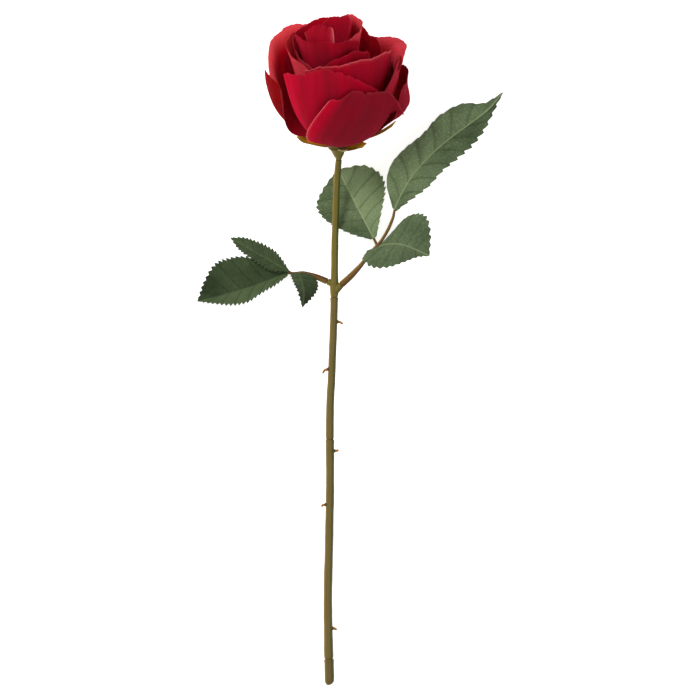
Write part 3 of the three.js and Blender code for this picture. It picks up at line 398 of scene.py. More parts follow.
def new_piece(name, vertices, faces, uv, flat_from=None, attributes=None):
    """A mesh object from points in millimetres. Faces from flat_from on are shaded flat."""
    mesh = bpy.data.meshes.new(name)
    mesh.from_pydata(place(np.asarray(vertices, float)).tolist(), [], faces)
    mesh.update()
    smooth = np.ones(len(mesh.polygons), bool)
    if flat_from is not None:
        smooth[flat_from:] = False
    mesh.polygons.foreach_set("use_smooth", smooth)
    for label, values in (attributes or {}).items():
        layer = mesh.attributes.new(label, "FLOAT", "POINT")
        layer.data.foreach_set("value", np.asarray(values, np.float32).ravel())
    corners = np.zeros(len(mesh.loops), np.int32)
    mesh.loops.foreach_get("vertex_index", corners)
    layer = mesh.uv_layers.new(name="cloth")
    layer.data.foreach_set("uv", np.asarray(uv, np.float32)[corners].ravel())
    return add_object(name, mesh)


def finish_piece(piece, material, node):
    """Gives a piece its material, its place in the frame and the node that it stands for."""
    piece.data.materials.clear()
    piece.data.materials.append(material)
    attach(piece, "root")
    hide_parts(node)


def edge_steps(count, margin):
    """Even steps from 0 to 1, with one more close inside each end."""
    steps = np.linspace(0, 1, count + 1)
    return np.concatenate([[0, margin], steps[1:-1], [1 - margin, 1]])


def sheet_piece(name, surface, columns, rows, thickness, margin, extra=None, sided=False):
    """A closed sheet about surface(u, v), u from -1 to 1 and v from 0 to 1, never below the table.

    Its vertices carry the distance across and up as uv, and edge, which is 1 on the cut edge. A sided one
    carries u in place of the distance across, as rods do.
    """
    u, v = np.meshgrid(edge_steps(columns, margin) * 2 - 1, edge_steps(rows, margin), indexing="ij")
    step = 1e-3
    across = surface(np.clip(u + step, -1, 1), v) - surface(np.clip(u - step, -1, 1), v)
    up = surface(u, np.clip(v + step, 0, 1)) - surface(u, np.clip(v - step, 0, 1))
    normal = np.cross(across, up)
    normal /= np.maximum(np.linalg.norm(normal, axis=-1, keepdims=True), 1e-9)
    middle = surface(u, v)
    lower = np.minimum(middle[..., 2] - np.abs(normal[..., 2]) * thickness / 2, 0)
    middle[..., 2] -= lower
    front = (middle + normal * thickness / 2).reshape(-1, 3)
    back = (middle - normal * thickness / 2).reshape(-1, 3)
    n, m = u.shape
    index = np.arange(n * m).reshape(n, m)
    corners = [index[:-1, :-1], index[1:, :-1], index[1:, 1:], index[:-1, 1:]]
    quads = np.stack([c.ravel() for c in corners], axis=1)
    flip = n * m
    ring = np.concatenate([index[:-1, 0], index[-1, :-1], index[:0:-1, -1], index[0, :0:-1]])
    after = np.roll(ring, -1)
    strip = np.stack([ring, ring + flip, after + flip, after], axis=1)
    faces = np.concatenate([quads, quads[:, ::-1] + flip, strip]).tolist()
    width = np.linalg.norm(np.diff(middle, axis=0), axis=-1).sum(0).mean() / 2
    height = np.linalg.norm(np.diff(middle, axis=1), axis=-1).sum(1).mean()
    uv = np.stack([u.ravel() * (1 if sided else width), v.ravel() * height], axis=1)
    edge = ((np.abs(u) == 1) | (v == 1)).astype(float).ravel()
    attributes = {"edge": np.tile(edge, 2)}
    for label, values in (extra(u, v, width, height) if extra else {}).items():
        attributes[label] = np.tile(values.ravel(), 2)
    vertices = np.concatenate([front, back])
    return new_piece(name, vertices, faces, np.tile(uv, (2, 1)), 2 * len(quads), attributes)


def ring_faces(rings, sides):
    """The faces of a tube of rings, closed at both ends."""
    faces = []
    for n in range(rings - 1):
        low, high = n * sides, (n + 1) * sides
        for k in range(sides):
            j = (k + 1) % sides
            faces.append((low + k, high + k, high + j, low + j))
    faces.append(tuple(range(sides)))
    faces.append(tuple(range(rings * sides - 1, (rings - 1) * sides - 1, -1)))
    return faces


def rod_mesh(points, radii, sides, flash=0.0, seed=0.0):
    """Vertices, faces and uv of a closed rod through points, its moulding seams on both sides.

    uv is the side, 1 on its right and -1 on its left, and the distance along it.
    """
    along = np.gradient(points, axis=0)
    along /= np.linalg.norm(along, axis=1, keepdims=True)
    across = np.cross(along, [0, 0, 1.0])
    across /= np.linalg.norm(across, axis=1, keepdims=True)
    above = np.cross(across, along)
    angle = 2 * np.pi * np.arange(sides) / sides
    distance = np.concatenate([[0], np.cumsum(np.linalg.norm(np.diff(points, axis=0), axis=1))])
    waver = np.sin(distance[:, None] * 0.21 + seed) * np.cos(2 * angle + seed)
    waver = waver + 0.6 * np.sin(distance[:, None] * 0.53 + 2 * seed + angle)
    ridge = np.exp(-((np.sin(angle) / RIDGE_WIDTH) ** 2))
    reach = radii[:, None] + WAVER * waver * (radii[:, None] > THIN) + flash * ridge
    ring = (across[:, None] * np.cos(angle)[None, :, None] + above[:, None] * np.sin(angle)[None, :, None])
    vertices = (points[:, None] + ring * reach[..., None]).reshape(-1, 3)
    vertices[:, 2] = np.maximum(vertices[:, 2], 0)
    uv = np.stack(np.broadcast_arrays(np.cos(angle)[None], distance[:, None]), axis=-1).reshape(-1, 2)
    return vertices, ring_faces(len(points), sides), uv


def union(name, solids):
    """One piece from solids, each (vertices, faces, uv), joined by boolean union."""
    parts = []
    for n, solid in enumerate(solids):
        parts.append(new_piece(f"{name}_{n}" if n else name, *solid))
    whole = parts[0]
    for part in parts[1:]:
        modifier = whole.modifiers.new("join", "BOOLEAN")
        modifier.operation = "UNION"
        modifier.solver = "EXACT"
        modifier.object = part
    bpy.context.view_layer.update()
    mesh = bpy.data.meshes.new_from_object(whole.evaluated_get(bpy.context.evaluated_depsgraph_get()))
    whole.modifiers.clear()
    whole.data = mesh
    for part in parts[1:]:
        bpy.data.objects.remove(part)
    return whole


# ---- shader helpers

class Shader:
    """A material's nodes, made one by one."""

    def __init__(self, name):
        self.material = bpy.data.materials.new(name)
        self.material.use_nodes = True
        self.tree = self.material.node_tree
        self.surface = self.tree.nodes["Principled BSDF"]

    def feed(self, socket, value):
        """Sets a socket to a plain value, or links it to another node's output."""
        if isinstance(value, bpy.types.NodeSocket):
            self.tree.links.new(value, socket)
        else:
            socket.default_value = value

    def node(self, kind, inputs, **settings):
        """A new node with its settings, its inputs by name or number."""
        made = self.tree.nodes.new(kind)
        for key, value in settings.items():
            setattr(made, key, value)
        for key, value in inputs.items():
            self.feed(made.inputs[key], value)
        return made

    def attribute(self, name):
        return self.node("ShaderNodeAttribute", {}, attribute_name=name).outputs["Fac"]

    def cloth(self):
        """The cloth coordinates, in millimetres."""
        return self.node("ShaderNodeUVMap", {}, uv_map="cloth").outputs["UV"]

    def uv_axis(self, axis):
        return self.node("ShaderNodeSeparateXYZ", {"Vector": self.cloth()}).outputs[axis]

    def uv(self, scale):
        """The cloth coordinates times scale."""
        return self.node("ShaderNodeMapping", {"Vector": self.cloth(), "Scale": scale}).outputs["Vector"]

    def place(self, scale):
        """The object's coordinates, in metres, times scale."""
        source = self.node("ShaderNodeTexCoord", {}).outputs["Object"]
        return self.node("ShaderNodeMapping", {"Vector": source, "Scale": scale}).outputs["Vector"]

    def noise(self, vector, detail, roughness=0.5):
        inputs = {"Vector": vector, "Scale": 1.0, "Detail": detail, "Roughness": roughness}
        return self.node("ShaderNodeTexNoise", inputs).outputs["Fac"]

    def math(self, operation, *values):
        return self.node("ShaderNodeMath", dict(enumerate(values)), operation=operation).outputs["Value"]

    def ramp(self, value, low, high, to_low=0.0, to_high=1.0):
        """value from low..high stretched to to_low..to_high, smooth and clamped."""
        inputs = {"Value": value, "From Min": low, "From Max": high, "To Min": to_low, "To Max": to_high}
        return self.node("ShaderNodeMapRange", inputs, interpolation_type="SMOOTHSTEP").outputs["Result"]

    def mix(self, share, a, b):
        """Colour a, with this share of colour b."""
        made = self.node("ShaderNodeMix", {"Factor": share}, data_type="RGBA")
        colours = [s for s in made.inputs if s.type == "RGBA"]
        self.feed(colours[0], a)
        self.feed(colours[1], b)
        return [s for s in made.outputs if s.type == "RGBA"][0]

    def weave(self, threads):
        """The height of a plain weave, with this many radians of a wave to a millimetre."""
        waves = [self.math("SINE", self.math("MULTIPLY", self.uv_axis(axis), threads)) for axis in "XY"]
        return self.math("MULTIPLY", *waves)

    def bump(self, height, distance, strength):
        inputs = {"Height": height, "Distance": distance, "Strength": strength}
        return self.node("ShaderNodeBump", inputs).outputs["Normal"]

    def set(self, **values):
        """Sets the surface's own sockets: Base_Color is Base Color, and so on."""
        for key, value in values.items():
            self.feed(self.surface.inputs[key.replace("_", " ")], value)


def rgb(red, green, blue):
    """A colour given as 0-255 sRGB, as the linear colour that shaders take."""
    def linear(value):
        value /= 255
        return value / 12.92 if value <= 0.04045 else ((value + 0.055) / 1.055) ** 2.4
    return (linear(red), linear(green), linear(blue), 1.0)


# ---- materials

def petal_cloth():
    """Velvet-like crimson cloth: soft streaks from root to rim, fine weave, pink at grazing angles.

    Painted light and shade across each petal, a painted pink sheen toward the rims, painted shade on the cut
    edges and painted highlights on some of them.
    """
    s = Shader("petal_cloth")
    streaks = s.noise(s.uv((0.16, 0.008, 1)), 3.0, 0.6)
    mottle = s.noise(s.place((45, 45, 45)), 2.0)
    grain = s.noise(s.uv((2.6, 1.6, 1)), 2.0, 0.7)
    # dull to bright crimson: the cloth's own tone together with painted light and shade across each petal
    tone = s.math("MULTIPLY_ADD", s.attribute("tone"), 0.4, s.math("MULTIPLY_ADD", streaks, 0.9, -0.03))
    body = s.mix(s.ramp(tone, 0.0, 1.0), rgb(112, 17, 31), rgb(190, 1, 41))
    body = s.mix(s.ramp(mottle, 0.4, 0.7, 0.0, 0.25), body, rgb(140, 2, 22))
    body = s.mix(s.ramp(grain, 0.3, 0.7, 0.0, 0.1), body, rgb(190, 30, 52))
    # painted sheen: pink toward the rims, where they turn to the light
    body = s.mix(s.attribute("blush"), body, rgb(232, 84, 92))
    # painted shade: the cut edges darkened against the light they catch
    body = s.mix(s.math("MULTIPLY", s.attribute("edge"), 0.6), body, rgb(96, 2, 16))
    # pale cut edges: partly fraying, partly a painted highlight
    edged = s.mix(s.math("MINIMUM", s.attribute("pale"), 0.9), body, rgb(226, 104, 110))
    height = s.math("MULTIPLY_ADD", s.weave(15.0), 0.35, grain)
    s.set(Base_Color=edged, Roughness=0.85, Sheen_Weight=0.05, Sheen_Roughness=0.3,
          Sheen_Tint=rgb(255, 110, 120), Specular_IOR_Level=0.02,
          Subsurface_Weight=0.25, Subsurface_Radius=(1.0, 0.12, 0.2), Subsurface_Scale=0.003,
          Normal=s.bump(height, 0.0001, 0.5))
    return s.material


def leaf_cloth(name, light, dark, flecked, vein, midrib, specular):
    """Coated leaf cloth: grey green with a pale midrib, pressed side veins and a visible weave; painted light
    and shade on each half, painted glints, and painted shade along the side veins.
    """
    s = Shader(name)
    out = s.attribute("out")
    blotch = s.noise(s.place((45, 45, 45)), 3.0)
    flecks = s.noise(s.uv((0.5, 0.9, 1)), 5.0, 0.75)
    grain = s.noise(s.uv((2.4, 2.4, 1)), 2.0, 0.7)
    # painted light and shade: the shade attribute lightens or darkens each half, with random blotches on top
    share = s.math("ADD", s.attribute("shade"), s.math("MULTIPLY_ADD", blotch, 0.9, -0.1))
    body = s.mix(s.math("MINIMUM", s.math("MAXIMUM", share, 0.0), 1.0), dark, light)
    # painted glints: pale flecks, stronger where the painted light is
    painted_glint = s.math("MULTIPLY", s.ramp(flecks, 0.5, 0.62, 0.0, 0.8), s.ramp(share, 0.0, 0.9, 0.25, 1.0))
    body = s.mix(painted_glint, body, flecked)
    body = s.mix(s.ramp(grain, 0.4, 0.65, 0.0, 0.35), body, dark)
    # painted shade along the side veins, in the pressed creases
    side = s.ramp(s.math("ABSOLUTE", s.attribute("rib")), 0.03, 0.12, 0.35, 0.0)
    body = s.mix(side, body, dark)
    middle = s.ramp(s.math("ABSOLUTE", out), 0.15, 0.6, midrib, 0.0)
    body = s.mix(middle, body, vein)
    edged = s.mix(s.ramp(s.attribute("edge"), 0.2, 1.0, 0.0, 0.7), body, dark)
    height = s.math("MULTIPLY_ADD", s.weave(11.0), 0.3, flecks)
    rough = s.ramp(flecks, 0.3, 0.7, 0.62, 0.5)
    s.set(Base_Color=edged, Roughness=rough, Specular_IOR_Level=specular,
          Normal=s.bump(height, 0.0003, 0.8))
    return s.material


def stem_plastic(name, colours):
    """Moulded plastic, coloured from its left side over the front to its right, with streaks along it; the
    side colours are partly its own and partly painted light and shade.
    """
    left, front, right, flecks = (rgb(*colour) for colour in colours)
    s = Shader(name)
    side = s.uv_axis("X")
    wander = s.noise(s.place((160, 9, 160)), 3.0)
    streaks = s.noise(s.place((900, 14, 900)), 3.0)
    shifted = s.math("ADD", side, s.math("MULTIPLY_ADD", wander, 0.9, -0.45))
    # the left colour is partly a painted highlight and the right one partly painted shade
    body = s.mix(s.ramp(shifted, -0.95, -0.4), left, front)
    body = s.mix(s.ramp(shifted, 0.1, 0.75), body, right)
    body = s.mix(s.ramp(streaks, 0.5, 0.72, 0.0, 0.6), body, flecks)
    thorn = s.ramp(side, THORN_SIDE - 3, THORN_SIDE - 2)
    body = s.mix(s.math("MULTIPLY", thorn, s.ramp(s.uv_axis("Y"), 1.2, 3.0)), body, rgb(*THORN_TIP))
    fine = s.noise(s.place((1500, 500, 1500)), 2.0)
    s.set(Base_Color=body, Roughness=s.ramp(streaks, 0.3, 0.7, 0.42, 0.55), Specular_IOR_Level=0.2,
          Normal=s.bump(s.math("ADD", fine, streaks), 0.0001, 0.35))
    return s.material


def wire_steel():
    """Drawn steel with a fine grain, for the wire that lies hidden."""
    s = Shader("core_wire")
    grain = s.noise(s.place((900, 900, 900)), 2.0)
    shade = s.mix(s.ramp(grain, 0.3, 0.7, 0.0, 0.3), (0.3, 0.31, 0.32, 1), (0.21, 0.217, 0.224, 1))
    s.set(Base_Color=shade, Roughness=0.35, Metallic=1.0, Normal=s.bump(grain, 0.0001, 0.3))
    return s.material


# Plastics: 0-255 colours at the left, in front, at the right and of the streaks; and of the thorns' tips. The
# left and right colours are partly the plastic's own and partly painted light and shade;
# sepal_painted_highlight is a paler plastic for the front sepal, a painted highlight.
PLASTICS = {
    "stem_olive": [(128, 102, 12), (104, 96, 36), (66, 72, 18), (92, 72, 36)],
    "stem_woody": [(128, 98, 16), (104, 91, 44), (70, 66, 22), (94, 68, 40)],
    "cap_umber": [(108, 96, 26), (102, 80, 42), (58, 68, 20), (94, 68, 40)],
    "stalk_brown": [(146, 124, 68), (106, 74, 27), (80, 46, 18), (106, 90, 46)],
    "calyx_ochre": [(132, 108, 24), (112, 100, 36), (80, 80, 22), (120, 92, 40)],
    "sepal_golden": [(120, 84, 24), (190, 140, 20), (142, 92, 14), (126, 104, 40)],
    "sepal_painted_highlight": [(196, 190, 130), (178, 170, 104), (120, 118, 60), (150, 132, 70)],
}
THORN_TIP = (158, 98, 20)

# ---- stem

STEM_ROWS = np.array(STEM, float)


def stem_at(y):
    """Centre points and radii of the stem at distances y along it."""
    known = STEM_ROWS[:, 0]
    last = len(known) - 1
    i = np.clip(np.searchsorted(known, y, side="right") - 1, 0, last - 1)
    length = known[i + 1] - known[i]
    f = ((y - known[i]) / length)[:, None]
    before, after = np.maximum(np.arange(last + 1) - 1, 0), np.minimum(np.arange(last + 1) + 1, last)
    slopes = (STEM_ROWS[after, 1:3] - STEM_ROWS[before, 1:3]) / (known[after] - known[before])[:, None]
    start, end = STEM_ROWS[i, 1:3], STEM_ROWS[i + 1, 1:3]
    middle = hermite(start, end, slopes[i] * length[:, None], slopes[i + 1] * length[:, None], f)
    diameter = STEM_ROWS[i, 3] + f[:, 0] * (STEM_ROWS[i + 1, 3] - STEM_ROWS[i, 3])
    return np.stack([middle[:, 0], y, middle[:, 1]], axis=1), diameter / 2


def rounded(y, radii, start, end):
    """Radii with the edges at start and end rounded off."""
    inside = np.minimum(np.minimum(y - start, end - y) / SEAM_BEVEL, 1)
    return radii - SEAM_BEVEL * (1 - np.sqrt(1 - (1 - inside) ** 2))


def stem_solid(start, end, swell, seed):
    """A length of stem, its radius changed by swell(y), its rings closer where the ends are rounded."""
    start, end = start + SEAM_GAP / 2, end - SEAM_GAP / 2
    even = np.linspace(start, end, int((end - start) / RING_STEP) + 2)
    near = SEAM_BEVEL * np.array([0.0, 0.3, 1.0])
    y = np.unique(np.concatenate([start + near, even[1:-1], end - near]))
    points, radii = stem_at(y)
    radii = rounded(y, radii + swell(y), start, end)
    return rod_mesh(points, radii, STEM_SIDES, FLASH, seed)


def seam_lips(start, end):
    """A swell that ends a stem piece in a thick lip above and a narrow waist below."""
    def swell(y):
        return LIP_SWELL * ease(y, end - 3.0, end - 1.4) - LIP_WAIST * ease(-y, -start - 2.6, -start - 0.4)
    return swell


def thorn_solid(y, side, reach, droop):
    """A hooked thorn that flares where it leaves the stem."""
    centres, radii = stem_at(np.array([y], float))
    x, _, z = centres[0]
    fine = resampled(THORN_SHAPE, THORN_RINGS)
    out = np.where(fine[:, 0] < 0, fine[:, 0], fine[:, 0] * reach)
    height = np.full(THORN_RINGS, z + THORN_RISE)
    points = np.stack([x + side * (radii[0] + out), y - droop * fine[:, 1], height], axis=1)
    vertices, faces, uv = rod_mesh(points, np.maximum(fine[:, 2], 0.1), THORN_SIDES)
    return vertices, faces, uv + [THORN_SIDE, 0]


def along_socket(arm, distance):
    """The point in line with a socket, this far from the stem's centre line."""
    start, toward = np.array(arm[0], float), np.array(arm[1], float)
    return start + toward / np.linalg.norm(toward) * distance


def socket_solid(arm):
    """The outside of a socket: a short arm with a rounded mouth."""
    parts, radii = np.array(SOCKET_SHAPE, float).T
    points = np.array([along_socket(arm, part * arm[2]) for part in parts])
    return rod_mesh(points, radii, SOCKET_SIDES)


def stem_upper():
    """The stem's upper piece, its node swollen toward the two leaf sockets."""
    def swell(y):
        node = NODE["bulge"] * np.exp(-(((y - NODE["y"]) / (NODE["length"] / 2)) ** 2))
        return node + seam_lips(MIDDLE_END, UPPER_END + NO_LIP)(y)
    tube = stem_solid(MIDDLE_END, UPPER_END, swell, 3.0)
    return union("stem_upper_moulded", [tube, socket_solid(LEFT_SOCKET), socket_solid(RIGHT_SOCKET)])


def stem_cap():
    """The cap at the cut end, its tip cut a little askew and rounded."""
    start, end = STEM[0][0] - CAP_TIP, CAP_END - SEAM_GAP / 2
    near_tip = start + np.array([0, 0.08, 0.25, 0.55, 1, 1.7, CAP_ROUNDING])
    near_seam = end - SEAM_BEVEL * np.array([1, 0.3, 0])
    y = np.unique(np.concatenate([near_tip, np.linspace(-5, end - 1, 14), near_seam]))
    points, radii = stem_at(y)
    inside = np.clip((y - start) / CAP_ROUNDING, 0, 1)
    radii = radii - CAP_ROUNDING * 0.9 * (1 - np.sqrt(1 - (1 - inside) ** 2))
    points[:, 0] += CAP_SKEW * (1 - inside) ** 2
    radii = rounded(y, radii, start - 9, end) + CAP_LIP * ease(y, end - 3.5, end - 1.5)
    return new_piece("stem_end_cap_moulded", *rod_mesh(points, radii, STEM_SIDES, FLASH, 5.0))


# ---- leaves

def leaf_lines(leaf, u, v):
    """How far out the midrib lies, and the edge on this side as [along, out]."""
    left, right = spread(leaf["left"], v), spread(leaf["right"], v)
    return spread(leaf["vein"], v), np.where((u < 0)[..., None], left, right)


def leaf_surface(leaf):
    """surface(u, v) of a leaflet's middle, from its left edge to its right and from base to tip."""
    base = np.array([*leaf["base"], 0.0])
    chord = np.array([*leaf["tip"], 0.0]) - base
    length = np.linalg.norm(chord)
    chord = chord / length
    right = np.array([chord[1], -chord[0], 0.0])

    def surface(u, v, fine=True):
        vein_out, edges = leaf_lines(leaf, u, v)
        width = np.maximum(np.abs(edges[..., 1] - vein_out), 2.0)
        reach = np.abs(u)
        if fine:
            reach = reach * (1 - tooth_profile(leaf, u, v) / width * np.abs(u) ** 6)
        along = v * length + (edges[..., 0] - v * length) * reach
        out = vein_out + (edges[..., 1] - vein_out) * reach
        away = np.abs(out - vein_out)
        fold = np.where(u < 0, leaf["fold"][0], leaf["fold"][1])
        height = spread(leaf["rise"], v) + fold * away + leaf["curl"] * away * away
        if fine:
            height = height + leaf_relief(leaf, u, v, away)
        point = base + along[..., None] * chord + out[..., None] * right
        point[..., 2] = height + LEAF_SOLID / 2
        return point

    return surface


def by_corner(values, u, v):
    """Between values given for the left half's base and tip and the right half's base and tip."""
    base = np.where(u < 0, values[0], values[2])
    tip = np.where(u < 0, values[1], values[3])
    return base + (tip - base) * ease(v, 0.15, 0.85)


def tooth_profile(leaf, u, v):
    """How far the edge is cut in, in millimetres: teeth that lean toward the tip, no two quite alike."""
    phase = v * leaf["teeth"] + np.where(u < 0, 0.0, 0.45)
    number = np.floor(phase)
    vary = 0.75 + 0.45 * np.abs(np.sin(number * 12.9 + leaf["teeth"] * np.sign(u)))
    saw = 1 - (phase - number)
    fade = ease(v, 0.0, 0.1) * ease(1 - v, 0.0, 0.06)
    return by_corner(leaf["tooth"], u, v) * (vary * saw ** 1.3 - TOOTH_BASE) * fade


def rib_place(leaf, u, v):
    """Which side vein a point is on: a whole number on each vein, fractions between two."""
    return (v - RIB_SLANT * np.abs(u) * 0.32 * (1 - 0.35 * np.abs(u))) * leaf["ribs"] + 0.5


def leaf_relief(leaf, u, v, away):
    """Height of the pressed relief: a raised midrib, and cloth that swells between the side veins."""
    between = np.abs(np.sin(np.pi * rib_place(leaf, u, v)))
    fade = ease(away, 0.4, 4.0) * (1 - 0.7 * np.abs(u) ** 3) * ease(1 - v, 0.02, 0.25)
    midrib = 0.28 * np.exp(-((away / 0.55) ** 2))
    wave = 0.35 * np.sin(9 * v + 4 * u + leaf["teeth"]) * np.abs(u) ** 2 * ease(1 - v, 0.0, 0.2)
    return leaf["quilt"] * (between - 0.6) * fade + midrib + wave


def leaf_marks(leaf):
    """What a leaflet's material needs: distance from the midrib and the nearest side vein, and its shade:
    painted
        light and shade.
    """
    def marks(u, v, width, height):
        vein_out, edges = leaf_lines(leaf, u, v)
        rib = rib_place(leaf, u, v)
        return {"out": (edges[..., 1] - vein_out) * np.abs(u), "rib": rib - np.round(rib),
                "shade": by_corner(leaf["shade"], u, v)}

    return marks


def under_leaflets(rows):
    """Where a stalk lies under its leaflets: [x, y, z, radius] from [leaflet, along, radius]."""
    result = []
    for name, along, radius in rows:
        x, y, z = leaf_surface(LEAFLETS[name])(np.array(0.0), np.array(along), fine=False)
        result.append([x, y, z - LEAF_SOLID / 2 - LEAFLET_SEAT - radius, radius])
    return result


def stalk_rings(start, end):
    """[x, y, z, radius] of a stalk's or twig's rings, from the rows of its start and its leaflets."""
    rows = [*start, *under_leaflets(end)]
    return resampled(rows, (len(rows) - 1) * STALK_STEPS + 1)


def stalk_piece(name, arm, path, end, twigs):
    """A leaf stalk with its shoulder at the socket, and its twigs."""
    shoulder = arm[2] + SHOULDER_GAP
    first = path[0][3]
    pin = [[*along_socket(arm, d), r] for d, r in (
        (shoulder - 1.0, PIN_RADIUS), (shoulder, PIN_RADIUS),
        (shoulder + 0.02, first - 0.2), (shoulder + 0.3, first + 0.05))]
    rings = np.concatenate([pin, stalk_rings(path, end)[2:]])
    solids = [rod_mesh(rings[:, :3], rings[:, 3], STALK_SIDES, STALK_FLASH, 1.0)]
    for n, (start, stop) in enumerate(twigs):
        rings = stalk_rings([start], stop)
        solids.append(rod_mesh(rings[:, :3], rings[:, 3], STALK_SIDES, TWIG_FLASH, 2.0 + n))
    return union(name, solids)


# ---- bloom

# The bloom's own axes: right and up as seen in the photograph, and front toward the viewer
RIGHT = np.array([math.cos(BLOOM_LEAN), math.sin(BLOOM_LEAN), 0.0])
UP = np.array([-math.sin(BLOOM_LEAN), math.cos(BLOOM_LEAN), math.tan(BLOOM_TILT)]) * math.cos(BLOOM_TILT)
FRONT = np.cross(RIGHT, UP)


def in_bloom(right, front, up):
    """The place of a point that is right, front and up of the bloom's base."""
    return BLOOM_BASE + right[..., None] * RIGHT + front[..., None] * FRONT + up[..., None] * UP


def petal_surface(petal, seed, fine=True):
    """surface(u, v) of a petal or sepal: from its left edge to its right and from root to rim."""
    def surface(u, v):
        def across(key):
            return spread(petal.get(key, [0, 0]), (u + 1) / 2)

        side = np.abs(u)
        rim = across("rim") * (1 - petal.get("shoulder", SHOULDER) * side ** 4)
        if fine:
            rim = rim + RIPPLE * np.sin(9.3 * u + seed) * (1 - side ** 6)
            rim = rim + FRAY * (np.sin(41 * u + 3 * seed) + np.sin(67 * u + seed) + np.sin(23 * u - seed))
            for place_at, width, depth in petal.get("dents", []):
                rim = rim - depth * np.exp(-(((u - place_at) / width) ** 2))
        left, right = spread(petal["left"], v), spread(petal["right"], v)
        turn = np.radians(left + (right - left) * (u + 1) / 2)
        rolled = np.maximum((v - ROLL_START) / (1 - ROLL_START), 0) ** 2
        cup = (petal["cup"] + petal.get("slant", 0) * u * ease(v, 0, SLANT_END)
               + across("out") * v * v + across("belly") * np.sin(np.pi * v) + across("roll") * rolled)
        if "bulge" in petal:
            height, width, sizes = petal["bulge"]
            cup = cup + spread(sizes, (u + 1) / 2) * np.exp(-(((v - height) / width) ** 2))
        if fine:
            folds = (np.sin(8.3 * u + 2.3 * seed) + 0.7 * np.sin(14.1 * u + seed + 1.2 * v)
                     + 0.35 * np.sin(27 * u - seed))
            cup = cup + petal.get("crease", CREASE) * 0.6 * folds * v ** 1.5
        start = petal.get("start", 0)
        point = cup_point(cup, start + (rim - start) * v)
        return in_bloom(point[..., 0] * np.sin(turn), point[..., 0] * np.cos(turn), point[..., 1])

    return surface


def petal_marks(petal):
    """What a petal's material needs: its tone, its blush toward the rim, and how pale its
    cut edges are (partly a painted highlight).
    """
    def marks(u, v, width, height):
        amount, start, end = petal.get("blush", [0, 0, 1])
        left, rim, right = petal.get("pale", PALE)
        pale = [left * np.exp((-1 - u) * width / PALE_BAND), rim * np.exp((v - 1) * height / PALE_BAND),
                right * np.exp((u - 1) * width / PALE_BAND)]
        return {"tone": spread(petal.get("tone", TONE_AND_PAINTED_LIGHT), (u + 1) / 2),
                "blush": amount * ease(v, start, end), "pale": np.maximum.reduce(pale)}

    return marks


def calyx_funnel():
    """The calyx's funnel, a closed solid turned about the bloom's axis."""
    fine = resampled(CALYX, CALYX_STEPS * (len(CALYX) - 1) + 1)
    sides = CALYX_SIDES
    angle = 2 * np.pi * np.arange(sides) / sides
    right = fine[:, None, 0] * np.sin(angle)
    front = fine[:, None, 0] * np.cos(angle)
    vertices = in_bloom(right, front, np.broadcast_to(fine[:, None, 1], right.shape)).reshape(-1, 3)
    uv = np.stack(np.broadcast_arrays(np.sin(angle)[None], fine[:, None, 1]), axis=-1).reshape(-1, 2)
    return new_piece("calyx_funnel", vertices, ring_faces(len(fine), sides), uv)


# ---- the rose

petal = petal_cloth()
light_leaf = leaf_cloth("leaf_cloth_light", light=rgb(128, 148, 104), dark=rgb(54, 72, 40),
                        flecked=rgb(150, 164, 126), vein=rgb(150, 168, 118), midrib=0.6, specular=0.2)
dark_leaf = leaf_cloth("leaf_cloth_dark", light=rgb(86, 103, 68), dark=rgb(34, 46, 24),
                       flecked=rgb(88, 102, 70), vein=rgb(98, 114, 78), midrib=0.3, specular=0.1)
plastic = {name: stem_plastic(name, colours) for name, colours in PLASTICS.items()}

for seed, (name, shape) in enumerate(PETALS.items()):
    sheet = sheet_piece(name + "_cloth", petal_surface(shape, 1.7 * seed), PETAL_COLUMNS, PETAL_ROWS,
                        PETAL_THICKNESS, PETAL_MARGIN, petal_marks(shape))
    finish_piece(sheet, petal, name)

for name, leaf in LEAFLETS.items():
    sheet = sheet_piece(name + "_cloth", leaf_surface(leaf), LEAF_COLUMNS, leaf["teeth"] * ROWS_PER_TOOTH,
                        LEAF_THICKNESS, LEAF_MARGIN, leaf_marks(leaf))
    finish_piece(sheet, light_leaf if name.startswith("right") else dark_leaf, name)

for name, start, end, seed in (
        ("stem_lower", CAP_END, LOWER_END, 0.0), ("stem_middle", LOWER_END, MIDDLE_END, 1.7)):
    solids = [stem_solid(start, end, seam_lips(start, end), seed)]
    solids += [thorn_solid(*thorn) for thorn in THORNS[name]]
    finish_piece(union(name + "_moulded", solids), plastic["stem_woody"], name)
finish_piece(stem_upper(), plastic["stem_olive"], "stem_upper")
finish_piece(stem_cap(), plastic["cap_umber"], "stem_end_cap")

for name, arm, path, end, twigs in (
        ("left_leaf_stalk", LEFT_SOCKET, LEFT_STALK, LEFT_END, LEFT_TWIGS),
        ("right_leaf_stalk", RIGHT_SOCKET, RIGHT_STALK, RIGHT_END, RIGHT_TWIGS)):
    stalk = stalk_piece(name + "_moulded", arm, path, end, twigs)
    finish_piece(stalk, plastic["stalk_brown"], name)

finish_piece(calyx_funnel(), plastic["calyx_ochre"], "calyx")
for n, sepal in enumerate(SEPALS):
    blade = petal_surface({**sepal, "start": SEPAL_START, "shoulder": 0}, n, fine=False)
    sheet = sheet_piece(f"calyx_sepal_{n + 1}", blade, SEPAL_COLUMNS, SEPAL_ROWS, SEPAL_THICKNESS,
                        SEPAL_MARGIN, sided=True)
    # the front sepal's paler plastic is a painted highlight
    finish_piece(sheet, plastic["sepal_painted_highlight" if n == HIGHLIT_SEPAL else "sepal_golden"], "calyx")

for name, material in {"stem_wire": wire_steel(), "bud_core": plastic["stem_olive"]}.items():
    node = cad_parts[name]
    node.data.materials.clear()
    node.data.materials.append(material)

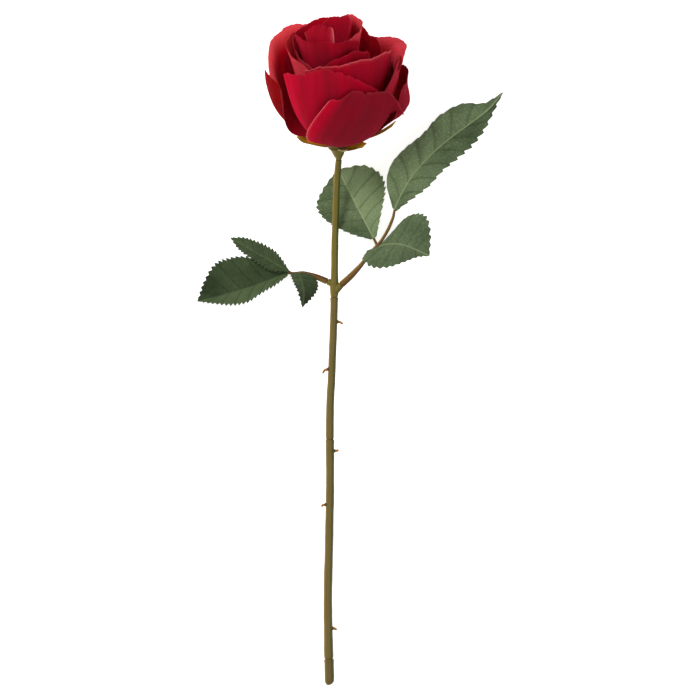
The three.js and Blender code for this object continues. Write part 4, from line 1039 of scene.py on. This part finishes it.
# ---- table, light and camera

FLOOR_SIZE = 6.0
FLOOR_GREY, FLOOR_GLOW = 0.93, 0.7
SKY_BRIGHTNESS = 0.52
LIGHTS = {  # place, size and power
    "key": [(-2.4, 2.2, 3.2), 1.6, 122],
    "fill": [(2.0, -0.4, 3.6), 2.4, 42],
}
LIT_HEIGHT = 40  # how far up the bloom's axis the lights point
LOOK_AT = (350, 350)  # the middle of the photograph, in pixels
PHOTO_ORIGIN = (329, 674.2)  # where the stem's coordinates start, in pixels
PIXEL = 0.775  # millimetres
CAMERA_HEIGHT = 20.0
SENSOR_WIDTH = 36.0
SHARP_HEIGHT = 0.05  # the height at which a pixel is that size
FRAME_PIXELS = 700


def floor():
    s = Shader("pale_table")
    s.set(Base_Color=(FLOOR_GREY, FLOOR_GREY, FLOOR_GREY, 1), Roughness=0.9, Specular_IOR_Level=0.1,
          Emission_Color=(1, 1, 1, 1), Emission_Strength=FLOOR_GLOW)
    half = FLOOR_SIZE / 2
    mesh = bpy.data.meshes.new("table")
    corners = [(-half, -half, 0), (half, -half, 0), (half, half, 0), (-half, half, 0)]
    mesh.from_pydata(corners, [], [(0, 1, 2, 3)])
    mesh.materials.append(s.material)
    add_object("table", mesh)


def soft_light(name, place_at, target, size, power):
    """A square area light that faces target."""
    lamp = bpy.data.lights.new(name, "AREA")
    lamp.size = size
    lamp.energy = power
    holder = add_object(name, lamp)
    holder.location = place_at
    holder.rotation_mode = "QUATERNION"
    holder.rotation_quaternion = (Vector(target) - Vector(place_at)).to_track_quat("-Z", "Y")


def sky():
    world = bpy.data.worlds.new("studio")
    bpy.context.scene.world = world
    world.use_nodes = True
    background = world.node_tree.nodes["Background"].inputs
    background["Color"].default_value = (1, 1, 1, 1)
    background["Strength"].default_value = SKY_BRIGHTNESS


def camera():
    data = bpy.data.cameras.new("camera")
    holder = add_object("camera", data)
    right, down = (LOOK_AT[axis] - PHOTO_ORIGIN[axis] for axis in (0, 1))
    x, y, _ = place(np.array([right * PIXEL, -down * PIXEL, 0.0]))
    holder.location = (x, y, CAMERA_HEIGHT)
    data.sensor_fit = "HORIZONTAL"
    data.sensor_width = SENSOR_WIDTH
    data.lens = SENSOR_WIDTH * (CAMERA_HEIGHT - SHARP_HEIGHT) / (FRAME_PIXELS * PIXEL * MM)
    data.clip_end = 2 * CAMERA_HEIGHT
    bpy.context.scene.camera = holder


floor()
sky()
for name, (place_at, size, power) in LIGHTS.items():
    soft_light(name, place_at, tuple(place(BLOOM_BASE + LIT_HEIGHT * UP)), size, power)
camera()
bpy.context.scene.view_settings.view_transform = "Standard"
